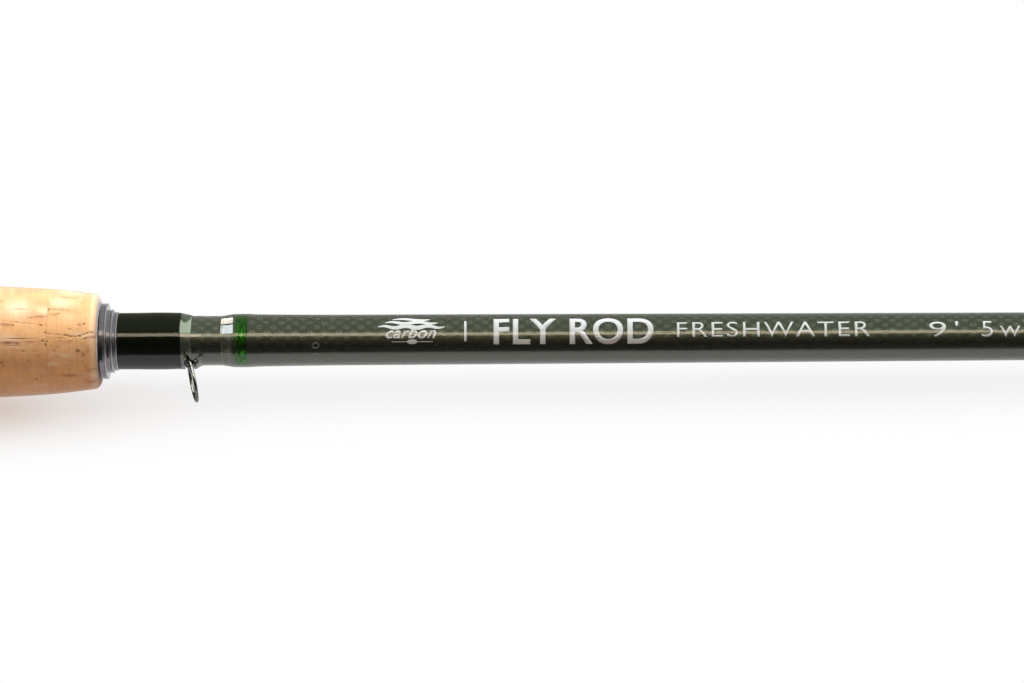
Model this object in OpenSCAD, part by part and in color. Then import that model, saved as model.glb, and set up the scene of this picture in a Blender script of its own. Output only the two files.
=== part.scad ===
// Four-piece fly rod, put together.  The rod's axis is X: the butt end is at X = 0 and
// the tip points along +X.  The reel, the hook keeper and the guides hang towards -Z.

/* [Rod] */
// Length of the rod when it is put together
rod_length = 2743.2; // [2735:0.1:2750]
// How far the second section slips over the first
overlap_1 = 50; // [46:0.5:52]
// How far the third section slips over the second
overlap_2 = 45; // [42:0.5:47]
// How far the tip section slips over the third
overlap_3 = 39.8; // [37:0.1:41]
// Radial room in each ferrule
ferrule_room = 0.05; // [0.02:0.01:0.1]

/* [Butt section] */
// Diameter of the blank at its butt end
butt_d = 10; // [9.9:0.05:10.1]
// Diameter of the blank where it leaves the grip
handle_d = 9.31; // [9.25:0.01:9.35]
// Diameter of the first section's slim end
male_d_1 = 7.45; // [7.3:0.05:7.6]
// Wall of the blank at the butt
butt_wall = 1.2; // [1:0.1:1.5]

/* [Upper sections] */
// Diameter of the second section's slim end
male_d_2 = 5.5; // [5.3:0.05:5.7]
// Diameter of the third section's slim end
male_d_3 = 3.6; // [3.5:0.05:3.7]
// Diameter of the blank at the very tip
tip_d = 1.6; // [1.5:0.05:1.7]
// Wall of the upper blanks at their ferrules
ferrule_wall = 0.58; // [0.5:0.02:0.65]

/* [Reel seat] */
// Length of the reel seat, from the butt face to the cork
seat_length = 98; // [96:0.5:100]
// Outer diameter of the threaded barrel and the wood insert
seat_d = 17.2; // [17:0.1:17.4]
// Pitch of the barrel's thread
thread_pitch = 1.5; // [1.25:0.05:1.6]
// Running room of the nut and the hood on the barrel
seat_room = 0.06; // [0.04:0.01:0.08]
// Number of grip flutes on the lock nut
nut_flutes = 24; // [18:1:28]

/* [Grip] */
// Length of the cork grip
grip_length = 175; // [172:1:178]
// Length of a whole cork ring
cork_ring = 12.7; // [12.5:0.1:12.7]
// Length of the front cork ring after facing
front_ring = 9; // [8.5:0.1:10]
// Radius of the grip's front corner
front_corner = 1.2; // [0.8:0.1:1.4]

/* [Wraps] */
// Length of the thread wrap ahead of the winding check
keeper_wrap_length = 11.75; // [11.35:0.1:11.95]
// Distance from the winding check to the accent band of thread
accent_gap = 22.05; // [21.85:0.1:22.45]
// Width of the accent band of thread
accent_width = 2.05; // [1.8:0.05:2.3]
// Thickness of one layer of thread
thread = 0.24; // [0.2:0.01:0.26]
// Thickness of the clear coat over the graphics
graphics_coat_t = 0.17; // [0.15:0.01:0.2]
// Length of the clear coat over the graphics, ahead of the accent band
graphics_length = 181.5; // [170:0.5:200]

/* [Hook keeper] */
// Distance of the keeper's eye ahead of its thread wrap
keeper_gap = 1.4; // [1.3:0.05:1.5]
// Radius of the keeper ring, to the middle of its wire
keeper_ring_r = 3.85; // [3.7:0.05:3.9]
// Thickness of the keeper ring's wire
keeper_wire_d = 0.58; // [0.5:0.02:0.6]
// Lean of the resting ring towards the tip, in degrees
keeper_lean = 14; // [5:1:20]

/* [Guides] */
// Radius of the first stripping guide's ceramic ring, to the middle of its section
stripper_r_1 = 5.05; // [4.8:0.05:5.2]
// Radius of the second stripping guide's ceramic ring
stripper_r_2 = 4.05; // [3.9:0.05:4.2]
// Thickness of the snake guides' wire
snake_wire_d = 0.9; // [0.8:0.05:1]
// Length of each snake guide's foot
snake_foot = 8; // [7:0.5:9]

/* [Hidden] */
$fn = 64;
gap = 0.01;
fit = 0.02;

// Section joints along X
section = (rod_length + overlap_1 + overlap_2 + overlap_3) / 4;
end_1 = section;
start_2 = end_1 - overlap_1;
end_2 = start_2 + section;
start_3 = end_2 - overlap_2;
end_3 = start_3 + section;
start_4 = end_3 - overlap_3;

// Blank: each list holds [x, outer radius] along one section, in straight tapers
blank_start = 3;
grip_end = seat_length + grip_length;
handle_x = grip_end + 3;
male_1 = [[blank_start, butt_d / 2], [handle_x, handle_d / 2], [end_1, male_d_1 / 2]];
female_2 = lookup(start_2, male_1) + ferrule_room + ferrule_wall + 0.05;
male_2 = [[start_2, female_2], [start_2 + 65, female_2 - 0.5], [end_2, male_d_2 / 2]];
female_3 = lookup(start_3, male_2) + ferrule_room + ferrule_wall - 0.06;
male_3 = [[start_3, female_3], [start_3 + 60, female_3 - 0.45], [end_3, male_d_3 / 2]];
female_4 = lookup(start_4, male_3) + ferrule_room + ferrule_wall - 0.1;
blank_tip_x = rod_length - 3;
tip_4 = [[start_4, female_4], [start_4 + 52, female_4 - 0.3], [blank_tip_x, tip_d / 2]];

// Reel seat
seat_r = seat_d / 2;
pad_r = 7.5;
cap_r = 10.8;
cap_bore_r = butt_d / 2 + 0.03;
cap_end = 9;
arbor_r = 7.4;
barrel_end = 38;
nut_start = 10;
nut_length = 9;
nut_r = 11.4;
spigot_length = 2;
hood_start = nut_start + nut_length + 0.1;
hood_length = 13;
hood_pocket = 9;
fixed_hood_start = seat_length - 15;
pocket_z = -5.8;
pocket_r = 7.4;
hood_wall = 1.1;
hood_r = 10.4;
clip_r = seat_r + 0.82;
spigot_r = seat_r + 0.96;

// Grip outline: [distance behind the front face, radius]
grip_outline = [[0, 8.74], [4, 9.27], [9, 9.8], [18.8, 10.35], [40, 11.5], [72, 12.4],
                [112, 12.3], [150, 11.9], [grip_length, 12.1]];
ring_count = 14;
cork_start = seat_length + fit;

// Winding check: [end x, radius] of each step
check_start = grip_end + fit;
check_steps = [[grip_end + 1.55, 7.1], [grip_end + 2.6, 5.93], [grip_end + 3.45, 5.5]];
check_end = check_steps[2][0];

// Wraps
keeper_wrap_end = check_end + keeper_wrap_length;
accent_start = check_end + accent_gap;
accent_end = accent_start + accent_width;
graphics_end = accent_start + graphics_length;

// Hook keeper
keeper_x = keeper_wrap_end + keeper_gap;
eye_rho = 5.15;
eye_hole_r = 0.42;
eye_r = 0.8;
eye_width = 1.6;
keeper_foot_x = keeper_x - 9.1;
keeper_foot_w = 1.6;
keeper_foot_rho = 5;
knob_x = keeper_x + 1.6;
knob_rho = 4.75;
knob_r = 0.8;

// Guides: distance of each from the tip, and its height over the blank
strippers = [[1908, 8.6, stripper_r_1], [1600, 7.2, stripper_r_2]];
snakes = [[1316, 6.4], [1056, 6], [820, 5.6], [608, 5.2], [420, 4.8], [256, 4.5], [116, 4.3]];
snake_loop = 8.4;
ceramic_r = 0.75;
band_t = 0.6;
band_w = 1.7;
guide_foot = [9, 1.8, 0.6];
wrap_t = 0.35;
wrap_shift = 0.45;

// Tip-top: its tube's two ends along X and the middle of its loop
top_wire = 0.5;
top_loop_r = 2.6;
top_tube_r = 1.35;
top_tube = [rod_length - 13, rod_length - 2];
top_loop = [rod_length - top_wire, 0, -(top_tube_r + top_loop_r - 0.1)];

cork_names = [for (i = [1:ring_count]) str("cork_ring_", i < 10 ? "0" : "", i)];
snake_names = [for (i = [1:len(snakes)]) str("snake_guide_", i)];

// ---- helpers -------------------------------------------------------------------------

// Turns a solid of revolution from the Z axis onto the rod's X axis
module along_x() rotate([0, 90, 0]) children();

// The stretch of an [x, radius] line between two places
function stretch(line, x0, x1) = concat(
    [[x0, lookup(x0, line)]],
    [for (p = line) if (p[0] > x0 && p[0] < x1) p],
    [[x1, lookup(x1, line)]]);

function widened(line, by) = [for (p = line) [p[0], p[1] + by]];
function reversed(list) = [for (i = [len(list) - 1:-1:0]) list[i]];

// A solid of revolution between an outer and an inner [x, radius] line
module turned(outer, inner)
    along_x()
        rotate_extrude()
            polygon([for (p = concat(outer, reversed(inner))) [p[1], p[0]]]);

// A sleeve with the given outer line, bored to sit on a core line
module sleeve(outer, core) {
    x0 = outer[0][0];
    x1 = outer[len(outer) - 1][0];
    turned(outer, widened(stretch(core, x0, x1), gap));
}

// The space that a core line fills, with a little room
module core_space(core, x0, x1, room = gap)
    turned(widened(stretch(core, x0, x1), room), [[x0, 0], [x1, 0]]);

module cylinder_x(x0, x1, r, z = 0)
    translate([x0, 0, z])
        along_x()
            cylinder(r = r, h = x1 - x0);

// A straight strut between two points
module strut(a, b, r) {
    v = b - a;
    turn = atan2(v[1], v[0]);
    tilt = acos(v[2] / norm(v));
    translate(a)
        rotate([0, tilt, turn])
            cylinder(r = r, h = norm(v));
}

// A smooth curve through [x, y] points, by cubic Hermite pieces
function slope(c, i) =
    let (a = max(i - 1, 0), b = min(i + 1, len(c) - 1))
    (c[b][1] - c[a][1]) / (c[b][0] - c[a][0]);
function piece(c, x, i = 0) = i >= len(c) - 2 || x <= c[i + 1][0] ? i : piece(c, x, i + 1);
function smooth(c, x) =
    let (i = piece(c, x), w = c[i + 1][0] - c[i][0], t = (x - c[i][0]) / w)
    c[i][1] * (2 * t * t * t - 3 * t * t + 1)
    + c[i + 1][1] * (3 * t * t - 2 * t * t * t)
    + slope(c, i) * w * (t * t * t - 2 * t * t + t)
    + slope(c, i + 1) * w * (t * t * t - t * t);

// A round wire along computed points; away[i] points off the path at point i
function unit(v) = v / norm(v);
module wire(path, away, r, sides = 10) {
    n = len(path);
    rings = [for (i = [0:n - 1])
        let (t = unit(path[min(i + 1, n - 1)] - path[max(i - 1, 0)]),
             side = unit(cross(t, away[i])),
             up = cross(side, t))
        for (k = [0:sides - 1])
            path[i] + r * (cos(360 * k / sides) * side + sin(360 * k / sides) * up)];
    walls = [for (i = [0:n - 2])
        for (k = [0:sides - 1])
            let (j = (k + 1) % sides)
            [i * sides + k, i * sides + j, (i + 1) * sides + j, (i + 1) * sides + k]];
    polyhedron(rings, concat(
        walls,
        [[for (k = [sides - 1:-1:0]) k], [for (k = [0:sides - 1]) (n - 1) * sides + k]]));
}

// ---- reel seat -----------------------------------------------------------------------

module butt_pad()
    color("#2a2a28")
        turned([[0, pad_r - 0.6], [0.6, pad_r], [blank_start - 0.12, pad_r]],
               [[0, 0], [blank_start - 0.12, 0]]);

// The cap glues over the blank's end and takes the pad in its face
module butt_cap()
    color("#4c4a48")
        difference() {
            turned([[0.4, cap_r - 0.9], [1.2, cap_r], [7.6, cap_r], [cap_end, cap_r - 1.2]],
                   [[0.4, pad_r + fit], [blank_start - 0.1, pad_r + fit],
                    [blank_start - 0.1, cap_bore_r], [cap_end, cap_bore_r]]);
            for (k = [0:nut_flutes - 1])
                rotate([360 * k / nut_flutes, 0, 0])
                    cylinder_x(2.4, 6.6, 0.7, cap_r + 0.4);
        }

// Ridges stand for the thread, one to each turn
module seat_barrel() {
    first = cap_end + gap;
    ridges = floor((barrel_end - first) / thread_pitch) - 1;
    ridge_line = [for (k = [0:ridges - 1])
        let (x = first + 0.6 + k * thread_pitch)
        each [[x, seat_r - 0.45], [x + 0.5, seat_r], [x + 0.9, seat_r]]];
    color("#4c4a48")
        difference() {
            turned(concat([[first, seat_r - 0.45]], ridge_line,
                          [[barrel_end - 0.6, seat_r - 0.45], [barrel_end, seat_r - 0.45]]),
                   [[first, arbor_r + fit], [barrel_end, arbor_r + fit]]);
            translate([first - 1, -1.3, seat_r - 0.7])
                cube([barrel_end, 2.6, 2]);
        }
}

module barrel_arbor()
    color("#8a8478")
        sleeve([[cap_end + gap, arbor_r], [barrel_end, arbor_r]], male_1);

module seat_insert()
    color("#5a3420")
        sleeve([[barrel_end + fit, seat_r - 0.4], [barrel_end + 0.6, seat_r],
                [seat_length, seat_r]], male_1);

// The eccentric body that both hoods share: a collar with a bulge over the reel foot
module hood_body(x0, x1) {
    cylinder_x(x0, x1, hood_r);
    cylinder_x(x0, x1, pocket_r + hood_wall, pocket_z);
}

module fixed_hood()
    color("#4c4a48")
        difference() {
            hood_body(fixed_hood_start, seat_length);
            cylinder_x(fixed_hood_start - 1, seat_length + 1, seat_r + fit);
            cylinder_x(fixed_hood_start - 1, seat_length - 1.5, pocket_r, pocket_z);
        }

module lock_nut()
    color("#4c4a48")
        difference() {
            nut_end = nut_start + nut_length;
            groove = nut_end + 0.9;
            turned([[nut_start, nut_r - 0.8], [nut_start + 0.8, nut_r], [nut_end - 0.8, nut_r],
                    [nut_end, nut_r - 0.8], [nut_end, spigot_r], [groove, spigot_r],
                    [groove, spigot_r - 0.2], [groove + 0.7, spigot_r - 0.2],
                    [groove + 0.7, spigot_r], [nut_end + spigot_length, spigot_r]],
                   [[nut_start, seat_r + seat_room],
                    [nut_end + spigot_length, seat_r + seat_room]]);
            for (k = [0:nut_flutes - 1])
                rotate([360 * k / nut_flutes, 0, 0])
                    cylinder_x(nut_start - 1, nut_end - 1.2, 0.8, nut_r + 0.4);
        }

// A spring clip keeps the nut's spigot in the hood, so that the nut carries the hood along
module hood_clip() {
    clip_x = nut_start + nut_length + 0.95;
    color("#b0b0ac")
        difference() {
            turned([[clip_x, clip_r + 0.6], [clip_x + 0.6, clip_r + 0.6]],
                   [[clip_x, clip_r], [clip_x + 0.6, clip_r]]);
            translate([clip_x - 1, -1.5, 0])
                cube([3, 3, 12]);
        }
}

module sliding_hood() {
    hood_end = hood_start + hood_length;
    clip_x = nut_start + nut_length + 0.93;
    bore = seat_r + seat_room + fit;
    color("#4c4a48")
        difference() {
            union() {
                difference() {
                    hood_body(hood_start, hood_end);
                    cylinder_x(hood_start - 1, hood_end + 1, bore);
                }
                // The key rides in the barrel's keyway and stops the hood turning
                translate([hood_start + 3, -1.2, seat_r - 0.6])
                    cube([3, 2.4, 1.2]);
            }
            cylinder_x(hood_start - 1, hood_start + spigot_length + 0.4, spigot_r + seat_room);
            cylinder_x(clip_x, clip_x + 0.64, clip_r + 0.62);
            cylinder_x(hood_end - hood_pocket, hood_end + 1, pocket_r, pocket_z);
        }
}

// ---- grip ----------------------------------------------------------------------------

function grip_radius(x) = smooth(grip_outline, grip_end - x);
function ring_end(i) = i == ring_count ? grip_end
    : grip_end - front_ring - (ring_count - 1 - i) * cork_ring;
function ring_start(i) = i == 1 ? cork_start : ring_end(i - 1) + gap;

module cork(i) {
    x0 = ring_start(i);
    x1 = ring_end(i);
    front = i == ring_count;
    round_x = front ? x1 - front_corner : x1;
    body = [for (k = [0:6])
        let (x = x0 + (round_x - x0) * k / 6)
        [x, grip_radius(x)]];
    corner = [for (a = [15:15:90])
        [round_x + front_corner * sin(a), grip_radius(round_x) - front_corner * (1 - cos(a))]];
    color(i % 2 == 0 ? "#dcab73" : "#e2b47c")
        sleeve(front ? concat(body, corner) : body, male_1);
}

// ---- front of the grip ---------------------------------------------------------------

module winding_check() {
    bevel = 0.12;
    starts = [check_start, check_steps[0][0], check_steps[1][0]];
    steps = [for (k = [0:2])
        let (r = check_steps[k][1])
        each [[starts[k], r - bevel], [starts[k] + bevel, r],
              [check_steps[k][0] - bevel, r], [check_steps[k][0], r - bevel]]];
    color("#6b6766")
        sleeve(steps, male_1);
}

module blank_butt()
    color("#3c4036")
        turned(male_1, [[blank_start, butt_d / 2 - butt_wall],
                        [end_1, male_d_1 / 2 - 0.8]]);

// The keeper's foot lies along the blank under the thread
module keeper_foot_space(room)
    translate([keeper_foot_x - room, -keeper_foot_w / 2 - room, -keeper_foot_rho - room])
        cube([keeper_x - keeper_foot_x + room, keeper_foot_w + 2 * room, 2]);

module keeper_wrap()
    color("#1c2014")
        difference() {
            sleeve(widened(stretch(male_1, check_end + fit, keeper_wrap_end), thread), male_1);
            keeper_foot_space(fit);
        }

// Clear epoxy over the thread, running out on the bare blank around the keeper's eye
module keeper_coat() {
    thread_line = widened(stretch(male_1, check_end + fit, keeper_wrap_end), thread);
    ramp_end = keeper_wrap_end + 1.9;
    color("#30361f", 0.6)
        difference() {
            turned([[check_end + fit, 5.2], [check_end + 0.9, 5.27], [check_end + 3, 5.27],
                    [check_end + 7.5, 5.325], [keeper_wrap_end - 0.5, 5.25],
                    [keeper_wrap_end + 1, 5.12], [ramp_end, lookup(ramp_end, male_1) + 0.06]],
                   widened(concat(thread_line,
                                  [[keeper_wrap_end, lookup(keeper_wrap_end, male_1)],
                                   [ramp_end, lookup(ramp_end, male_1)]]), gap));
            keeper_foot_space(fit);
            translate([keeper_x, 0, -eye_rho])
                rotate([90, 0, 0])
                    cylinder(r = eye_r + fit, h = 5, center = true);
        }
}

module keeper_eye()
    color("#3a3938")
        difference() {
            union() {
                keeper_foot_space(0);
                translate([keeper_x, 0, -eye_rho])
                    rotate([90, 0, 0])
                        cylinder(r = eye_r, h = eye_width, center = true);
                cylinder_x(keeper_x, knob_x, 0.5, -knob_rho);
                translate([knob_x, 0, -knob_rho])
                    sphere(r = knob_r);
            }
            translate([keeper_x, 0, -eye_rho])
                rotate([90, 0, 0])
                    cylinder(r = eye_hole_r, h = 9, center = true);
            core_space(male_1, keeper_foot_x - 5, knob_x + 5);
        }

module keeper_ring()
    color("#77736f")
        translate([keeper_x, 0, -eye_rho])
            rotate([0, -keeper_lean, 0])
                translate([0, 0, -keeper_ring_r])
                    along_x()
                        rotate_extrude()
                            translate([keeper_ring_r, 0])
                                circle(r = keeper_wire_d / 2);

module accent_wrap()
    color("#2f7a1c")
        sleeve(widened(stretch(male_1, accent_start, accent_end), thread), male_1);

// Clear epoxy over the accent band, thinning into the coat that covers the graphics
module graphics_coat() {
    ramp_start = accent_start - 2.6;
    level = accent_end + 15.45;
    band_r = lookup(accent_start, male_1) + thread + gap;
    outer = [[ramp_start, lookup(ramp_start, male_1) + 0.06], [accent_start - 1.3, 4.78],
             [accent_start - 0.2, 4.98], [accent_start + 0.8, 5.017],
             [accent_end + 1.35, 4.905], [accent_end + 2.85, 4.858],
             [accent_end + 5.85, 4.82], [accent_end + 9.55, 4.775],
             [level, lookup(level, male_1) + graphics_coat_t + gap],
             [graphics_end - 4, lookup(graphics_end - 4, male_1) + graphics_coat_t + gap],
             [graphics_end, lookup(graphics_end, male_1) + 0.05]];
    inner = [[ramp_start, lookup(ramp_start, male_1) + gap],
             [accent_start - gap, lookup(accent_start, male_1) + gap],
             [accent_start - gap, band_r], [accent_end + gap, band_r],
             [accent_end + gap, lookup(accent_end, male_1) + gap],
             [graphics_end, lookup(graphics_end, male_1) + gap]];
    color("#50584a", 0.5)
        turned(outer, inner);
}

// ---- upper sections ------------------------------------------------------------------

// A hollow section whose wide end is bored to slip over the slim end of the one below
module upper_blank(line, below, wall, last = false) {
    x0 = line[0][0];
    seat_end = below[len(below) - 1][0] + 4;
    x1 = line[len(line) - 1][0];
    socket = widened([[x0, lookup(x0, below)], [below[len(below) - 1][0],
                      below[len(below) - 1][1]]], ferrule_room);
    socket_end_r = socket[1][1];
    bore = [[seat_end, socket_end_r], [seat_end + 6, lookup(seat_end + 6, line) - wall - 0.4],
            [x1, line[len(line) - 1][1] - (last ? 0.5 : wall)]];
    color("#3c4036")
        turned(line, concat(socket, bore));
}

module blank_second() upper_blank(male_2, male_1, 0.75);
module blank_third() upper_blank(male_3, male_2, 0.65);
module blank_tip() upper_blank(tip_4, male_3, 0.6, true);

// Thread and epoxy in one low swell
module plain_wrap(core, x0, x1, t = wrap_t)
    sleeve([[x0, lookup(x0, core) + 0.08], [x0 + 1.2, lookup(x0 + 1.2, core) + t],
            [x1 - 1.2, lookup(x1 - 1.2, core) + t], [x1, lookup(x1, core) + 0.08]], core);

module ferrule_wrap(core) color("#1c2014") plain_wrap(core, core[0][0] + 0.8, core[0][0] + 15);
module ferrule_wrap_second() ferrule_wrap(male_2);
module ferrule_wrap_third() ferrule_wrap(male_3);
module ferrule_wrap_tip() ferrule_wrap(tip_4);

// ---- stripping guides ----------------------------------------------------------------

function stripper_x(i) = rod_length - strippers[i - 1][0];
function stripper_z(i) = -(lookup(stripper_x(i), male_2) + strippers[i - 1][1]);
function stripper_core_r(i) = lookup(stripper_x(i), male_2);
function stripper_reach(i) = strippers[i - 1][2] + 9;

// One foot of a guide on its blank; side is -1 towards the butt and 1 towards the tip
module foot_space(i, side, room) {
    x = stripper_x(i) + side * stripper_reach(i);
    r = lookup(x, male_2);
    translate([x, 0, -r - guide_foot[2] / 2])
        cube(guide_foot + [2, 2, 2] * room, center = true);
}

module stripper_frame(i) {
    x = stripper_x(i);
    z = stripper_z(i);
    band_in = strippers[i - 1][2] + ceramic_r + fit;
    band_out = band_in + band_t;
    foot_z = -stripper_core_r(i) - 0.35;
    inner_reach = stripper_reach(i) - guide_foot[0] / 2 + 0.5;
    color("#55534f")
        difference() {
            union() {
                translate([x, 0, z])
                    along_x()
                        difference() {
                            cylinder(r = band_out, h = band_w, center = true);
                            cylinder(r = band_in, h = band_w + 1, center = true);
                        }
                for (s = [-1, 1])
                    strut([x, s * (band_out - 0.2), z + 1], [x - inner_reach, s * 0.45, foot_z], 0.5);
                strut([x, 0, z + band_out - 0.1], [x + inner_reach, 0, foot_z], 0.6);
                foot_space(i, -1, 0);
                foot_space(i, 1, 0);
            }
            core_space(male_2, x - 25, x + 25);
            translate([x, 0, z])
                along_x()
                    cylinder(r = band_in, h = 8, center = true);
        }
}
module stripper_frame_1() stripper_frame(1);
module stripper_frame_2() stripper_frame(2);

module stripper_ring(i)
    color("#d8d6cf")
        translate([stripper_x(i), 0, stripper_z(i)])
            along_x()
                rotate_extrude()
                    translate([strippers[i - 1][2], 0])
                        circle(r = ceramic_r);
module stripper_ring_1() stripper_ring(1);
module stripper_ring_2() stripper_ring(2);

// Thread and epoxy over one foot: a sleeve set off towards the foot, so that it covers it
module foot_wrap(core, x0, x1) {
    r = lookup((x0 + x1) / 2, core);
    difference() {
        translate([0, 0, -wrap_shift])
            turned([[x0, r + wrap_shift + 0.1], [x0 + 1.2, r + wrap_shift + 0.28],
                    [x1 - 1.2, r + wrap_shift + 0.28], [x1, r + wrap_shift + 0.1]],
                   [[x0, 0], [x1, 0]]);
        core_space(core, x0 - 1, x1 + 1);
    }
}

module stripper_wraps(i)
    color("#1c2014")
        difference() {
            for (side = [-1, 1]) {
                x = stripper_x(i) + side * stripper_reach(i);
                inward = -side * (guide_foot[0] / 2 - 1.2);
                outward = side * (guide_foot[0] / 2 + 3);
                foot_wrap(male_2, x + min(inward, outward), x + max(inward, outward));
            }
            foot_space(i, -1, fit);
            foot_space(i, 1, fit);
        }
module stripper_wraps_1() stripper_wraps(1);
module stripper_wraps_2() stripper_wraps(2);

// ---- snake guides --------------------------------------------------------------------

function snake_x(i) = rod_length - snakes[i][0];
function snake_core(i) = i < 3 ? male_3 : tip_4;
function snake_core_r(i) = lookup(snake_x(i) - snake_loop / 2 - snake_foot, snake_core(i));

// The wire lies along the blank, makes one open turn below it, and lies along it again
function snake_point(i, t) =
    let (h = snakes[i][1] - snake_wire_d,
         turn = 360 * (t - 0.55 * sin(360 * t) / (2 * PI)),
         base = -snake_core_r(i) - snake_wire_d / 2 - fit)
    [snake_x(i) + snake_loop * (t - 0.5), h / 2 * sin(turn), base - h / 2 * (1 - cos(turn))];
function snake_centre_z(i) =
    -snake_core_r(i) - snake_wire_d / 2 - fit - (snakes[i][1] - snake_wire_d) / 2;

module snake_guide(i) {
    steps = 28;
    loop = [for (k = [0:steps]) snake_point(i, k / steps)];
    path = concat([loop[0] - [snake_foot, 0, 0]], loop, [loop[steps] + [snake_foot, 0, 0]]);
    away = [for (p = path) [0, p[1], p[2] - snake_centre_z(i)]];
    color("#a8a6a0")
        wire(path, away, snake_wire_d / 2);
}

// The slots that a snake guide's two feet need inside their wraps
module snake_feet_space(i) {
    r = snake_core_r(i);
    half = snake_loop / 2 + snake_foot + fit;
    slot_w = snake_wire_d + 2 * fit;
    for (x = [snake_x(i) - half, snake_x(i) + snake_loop / 2 - 1])
        translate([x, -slot_w / 2, -r - slot_w - fit])
            cube([half - snake_loop / 2 + 1, slot_w, slot_w + 1]);
}

module snake_wraps(first, last)
    color("#1c2014")
        for (i = [first:last])
            difference() {
                for (side = [-1, 1]) {
                    a = snake_x(i) + side * (snake_loop / 2 + 1.2);
                    b = snake_x(i) + side * (snake_loop / 2 + snake_foot + 2);
                    foot_wrap(snake_core(i), min(a, b), max(a, b));
                }
                snake_feet_space(i);
            }
module snake_wraps_third() snake_wraps(0, 2);
module snake_wraps_tip() snake_wraps(3, 6);

// ---- tip-top -------------------------------------------------------------------------

module tip_top()
    color("#a8a6a0")
        difference() {
            union() {
                cylinder_x(top_tube[0], top_tube[1], top_tube_r);
                translate(top_loop)
                    along_x()
                        rotate_extrude()
                            translate([top_loop_r, 0])
                                circle(r = top_wire);
                for (s = [-1, 1])
                    strut([top_tube[0] + 1.5, s * 0.9, -0.6],
                          top_loop + [0, s * top_loop_r, 0.3], 0.42);
                strut([top_tube[1] - 2, 0, -0.75], top_loop + [0, 0, top_loop_r], top_wire);
            }
            core_space(tip_4, top_tube[0] - 1, blank_tip_x, 0.02);
            cylinder_x(blank_tip_x - 0.1, blank_tip_x + 0.3, tip_d / 2 + 0.02);
        }

module tip_top_wrap()
    color("#1c2014")
        plain_wrap(tip_4, top_tube[0] - 6, top_tube[0] - 0.05);

// ---- nodes ---------------------------------------------------------------------------

butt_pad();
butt_cap();
seat_barrel();
barrel_arbor();
seat_insert();
fixed_hood();
lock_nut();
hood_clip();
sliding_hood();
for (i = [1:ring_count])
    cork(i);
winding_check();
blank_butt();
keeper_wrap();
keeper_coat();
keeper_eye();
keeper_ring();
accent_wrap();
graphics_coat();
blank_second();
ferrule_wrap_second();
stripper_frame_1();
stripper_ring_1();
stripper_wraps_1();
stripper_frame_2();
stripper_ring_2();
stripper_wraps_2();
blank_third();
ferrule_wrap_third();
snake_wraps_third();
blank_tip();
ferrule_wrap_tip();
snake_wraps_tip();
tip_top();
tip_top_wrap();
for (i = [0:len(snakes) - 1])
    snake_guide(i);
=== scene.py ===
"""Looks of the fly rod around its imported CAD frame.

Lengths are millimetres, along the rod's axis X, until a mesh is made.  The guides hang
towards -Z.  Stations and radii are read from the CAD nodes.
"""
import math

import bmesh
import bpy
import numpy as np
from mathutils import Matrix, Vector


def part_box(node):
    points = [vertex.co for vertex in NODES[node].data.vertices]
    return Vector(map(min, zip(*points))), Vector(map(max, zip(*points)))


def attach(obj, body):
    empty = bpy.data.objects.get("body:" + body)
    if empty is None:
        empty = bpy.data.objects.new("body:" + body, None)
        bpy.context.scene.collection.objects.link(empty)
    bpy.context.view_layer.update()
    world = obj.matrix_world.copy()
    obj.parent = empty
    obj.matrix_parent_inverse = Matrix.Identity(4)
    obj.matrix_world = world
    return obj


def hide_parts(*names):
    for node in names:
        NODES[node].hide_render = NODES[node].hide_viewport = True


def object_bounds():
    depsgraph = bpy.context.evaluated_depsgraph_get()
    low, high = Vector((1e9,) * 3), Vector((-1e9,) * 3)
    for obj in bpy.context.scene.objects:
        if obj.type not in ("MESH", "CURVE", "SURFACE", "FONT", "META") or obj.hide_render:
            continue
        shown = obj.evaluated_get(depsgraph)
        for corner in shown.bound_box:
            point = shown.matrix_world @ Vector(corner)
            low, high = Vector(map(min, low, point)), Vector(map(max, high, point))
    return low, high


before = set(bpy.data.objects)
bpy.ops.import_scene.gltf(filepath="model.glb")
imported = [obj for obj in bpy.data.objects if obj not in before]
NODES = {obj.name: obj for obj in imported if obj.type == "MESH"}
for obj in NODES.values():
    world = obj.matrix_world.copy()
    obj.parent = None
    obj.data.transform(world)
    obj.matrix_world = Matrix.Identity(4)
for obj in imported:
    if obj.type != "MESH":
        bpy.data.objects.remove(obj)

CAD_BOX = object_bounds()
MM = 0.001
TURN = 2 * math.pi
BUTT = "butt_section"

# The camera looks up at the rod from below and in front; metres
ELEVATION = math.radians(-34)
DISTANCE = 0.75
LENS, SENSOR = 141.4, 36.0
ROLL = math.radians(0.31)
AIM_AHEAD, AIM_DROP = 0.0767, 0.00045
TO_CAMERA = Vector((0, -math.cos(ELEVATION), math.sin(ELEVATION)))
UP = Vector((0, math.sin(ELEVATION), math.cos(ELEVATION)))

# ---- reading the CAD -----------------------------------------------------------------


def outer_line(node):
    """Rows [x, radius] along the outside of a turned node."""
    mesh = NODES[node].data
    best = {}
    for poly in mesh.polygons:
        c, n = poly.center, poly.normal
        if n.y * c.y + n.z * c.z > 0.3 * math.hypot(c.y, c.z):
            for i in poly.vertices:
                co = mesh.vertices[i].co
                x = round(co.x / MM, 2)
                best[x] = max(best.get(x, 0.0), math.hypot(co.y, co.z) / MM)
    return np.array(sorted(best.items()))


def widest(node):
    return max(outer_line(node)[:, 1])


def span(node):
    """First and last x of a node."""
    low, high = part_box(node)
    return low.x / MM, high.x / MM


def at(line, x):
    return np.interp(x, line[:, 0], line[:, 1])


LINE = {n: outer_line(f"blank_{n}") for n in ("butt", "second", "third", "tip")}
CORE = LINE["butt"]
RING_COUNT = 14
GRIP_END = span(f"cork_ring_{RING_COUNT}")[1]
ROD_END = CAD_BOX[1].x / MM

# ---- meshes --------------------------------------------------------------------------


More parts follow.
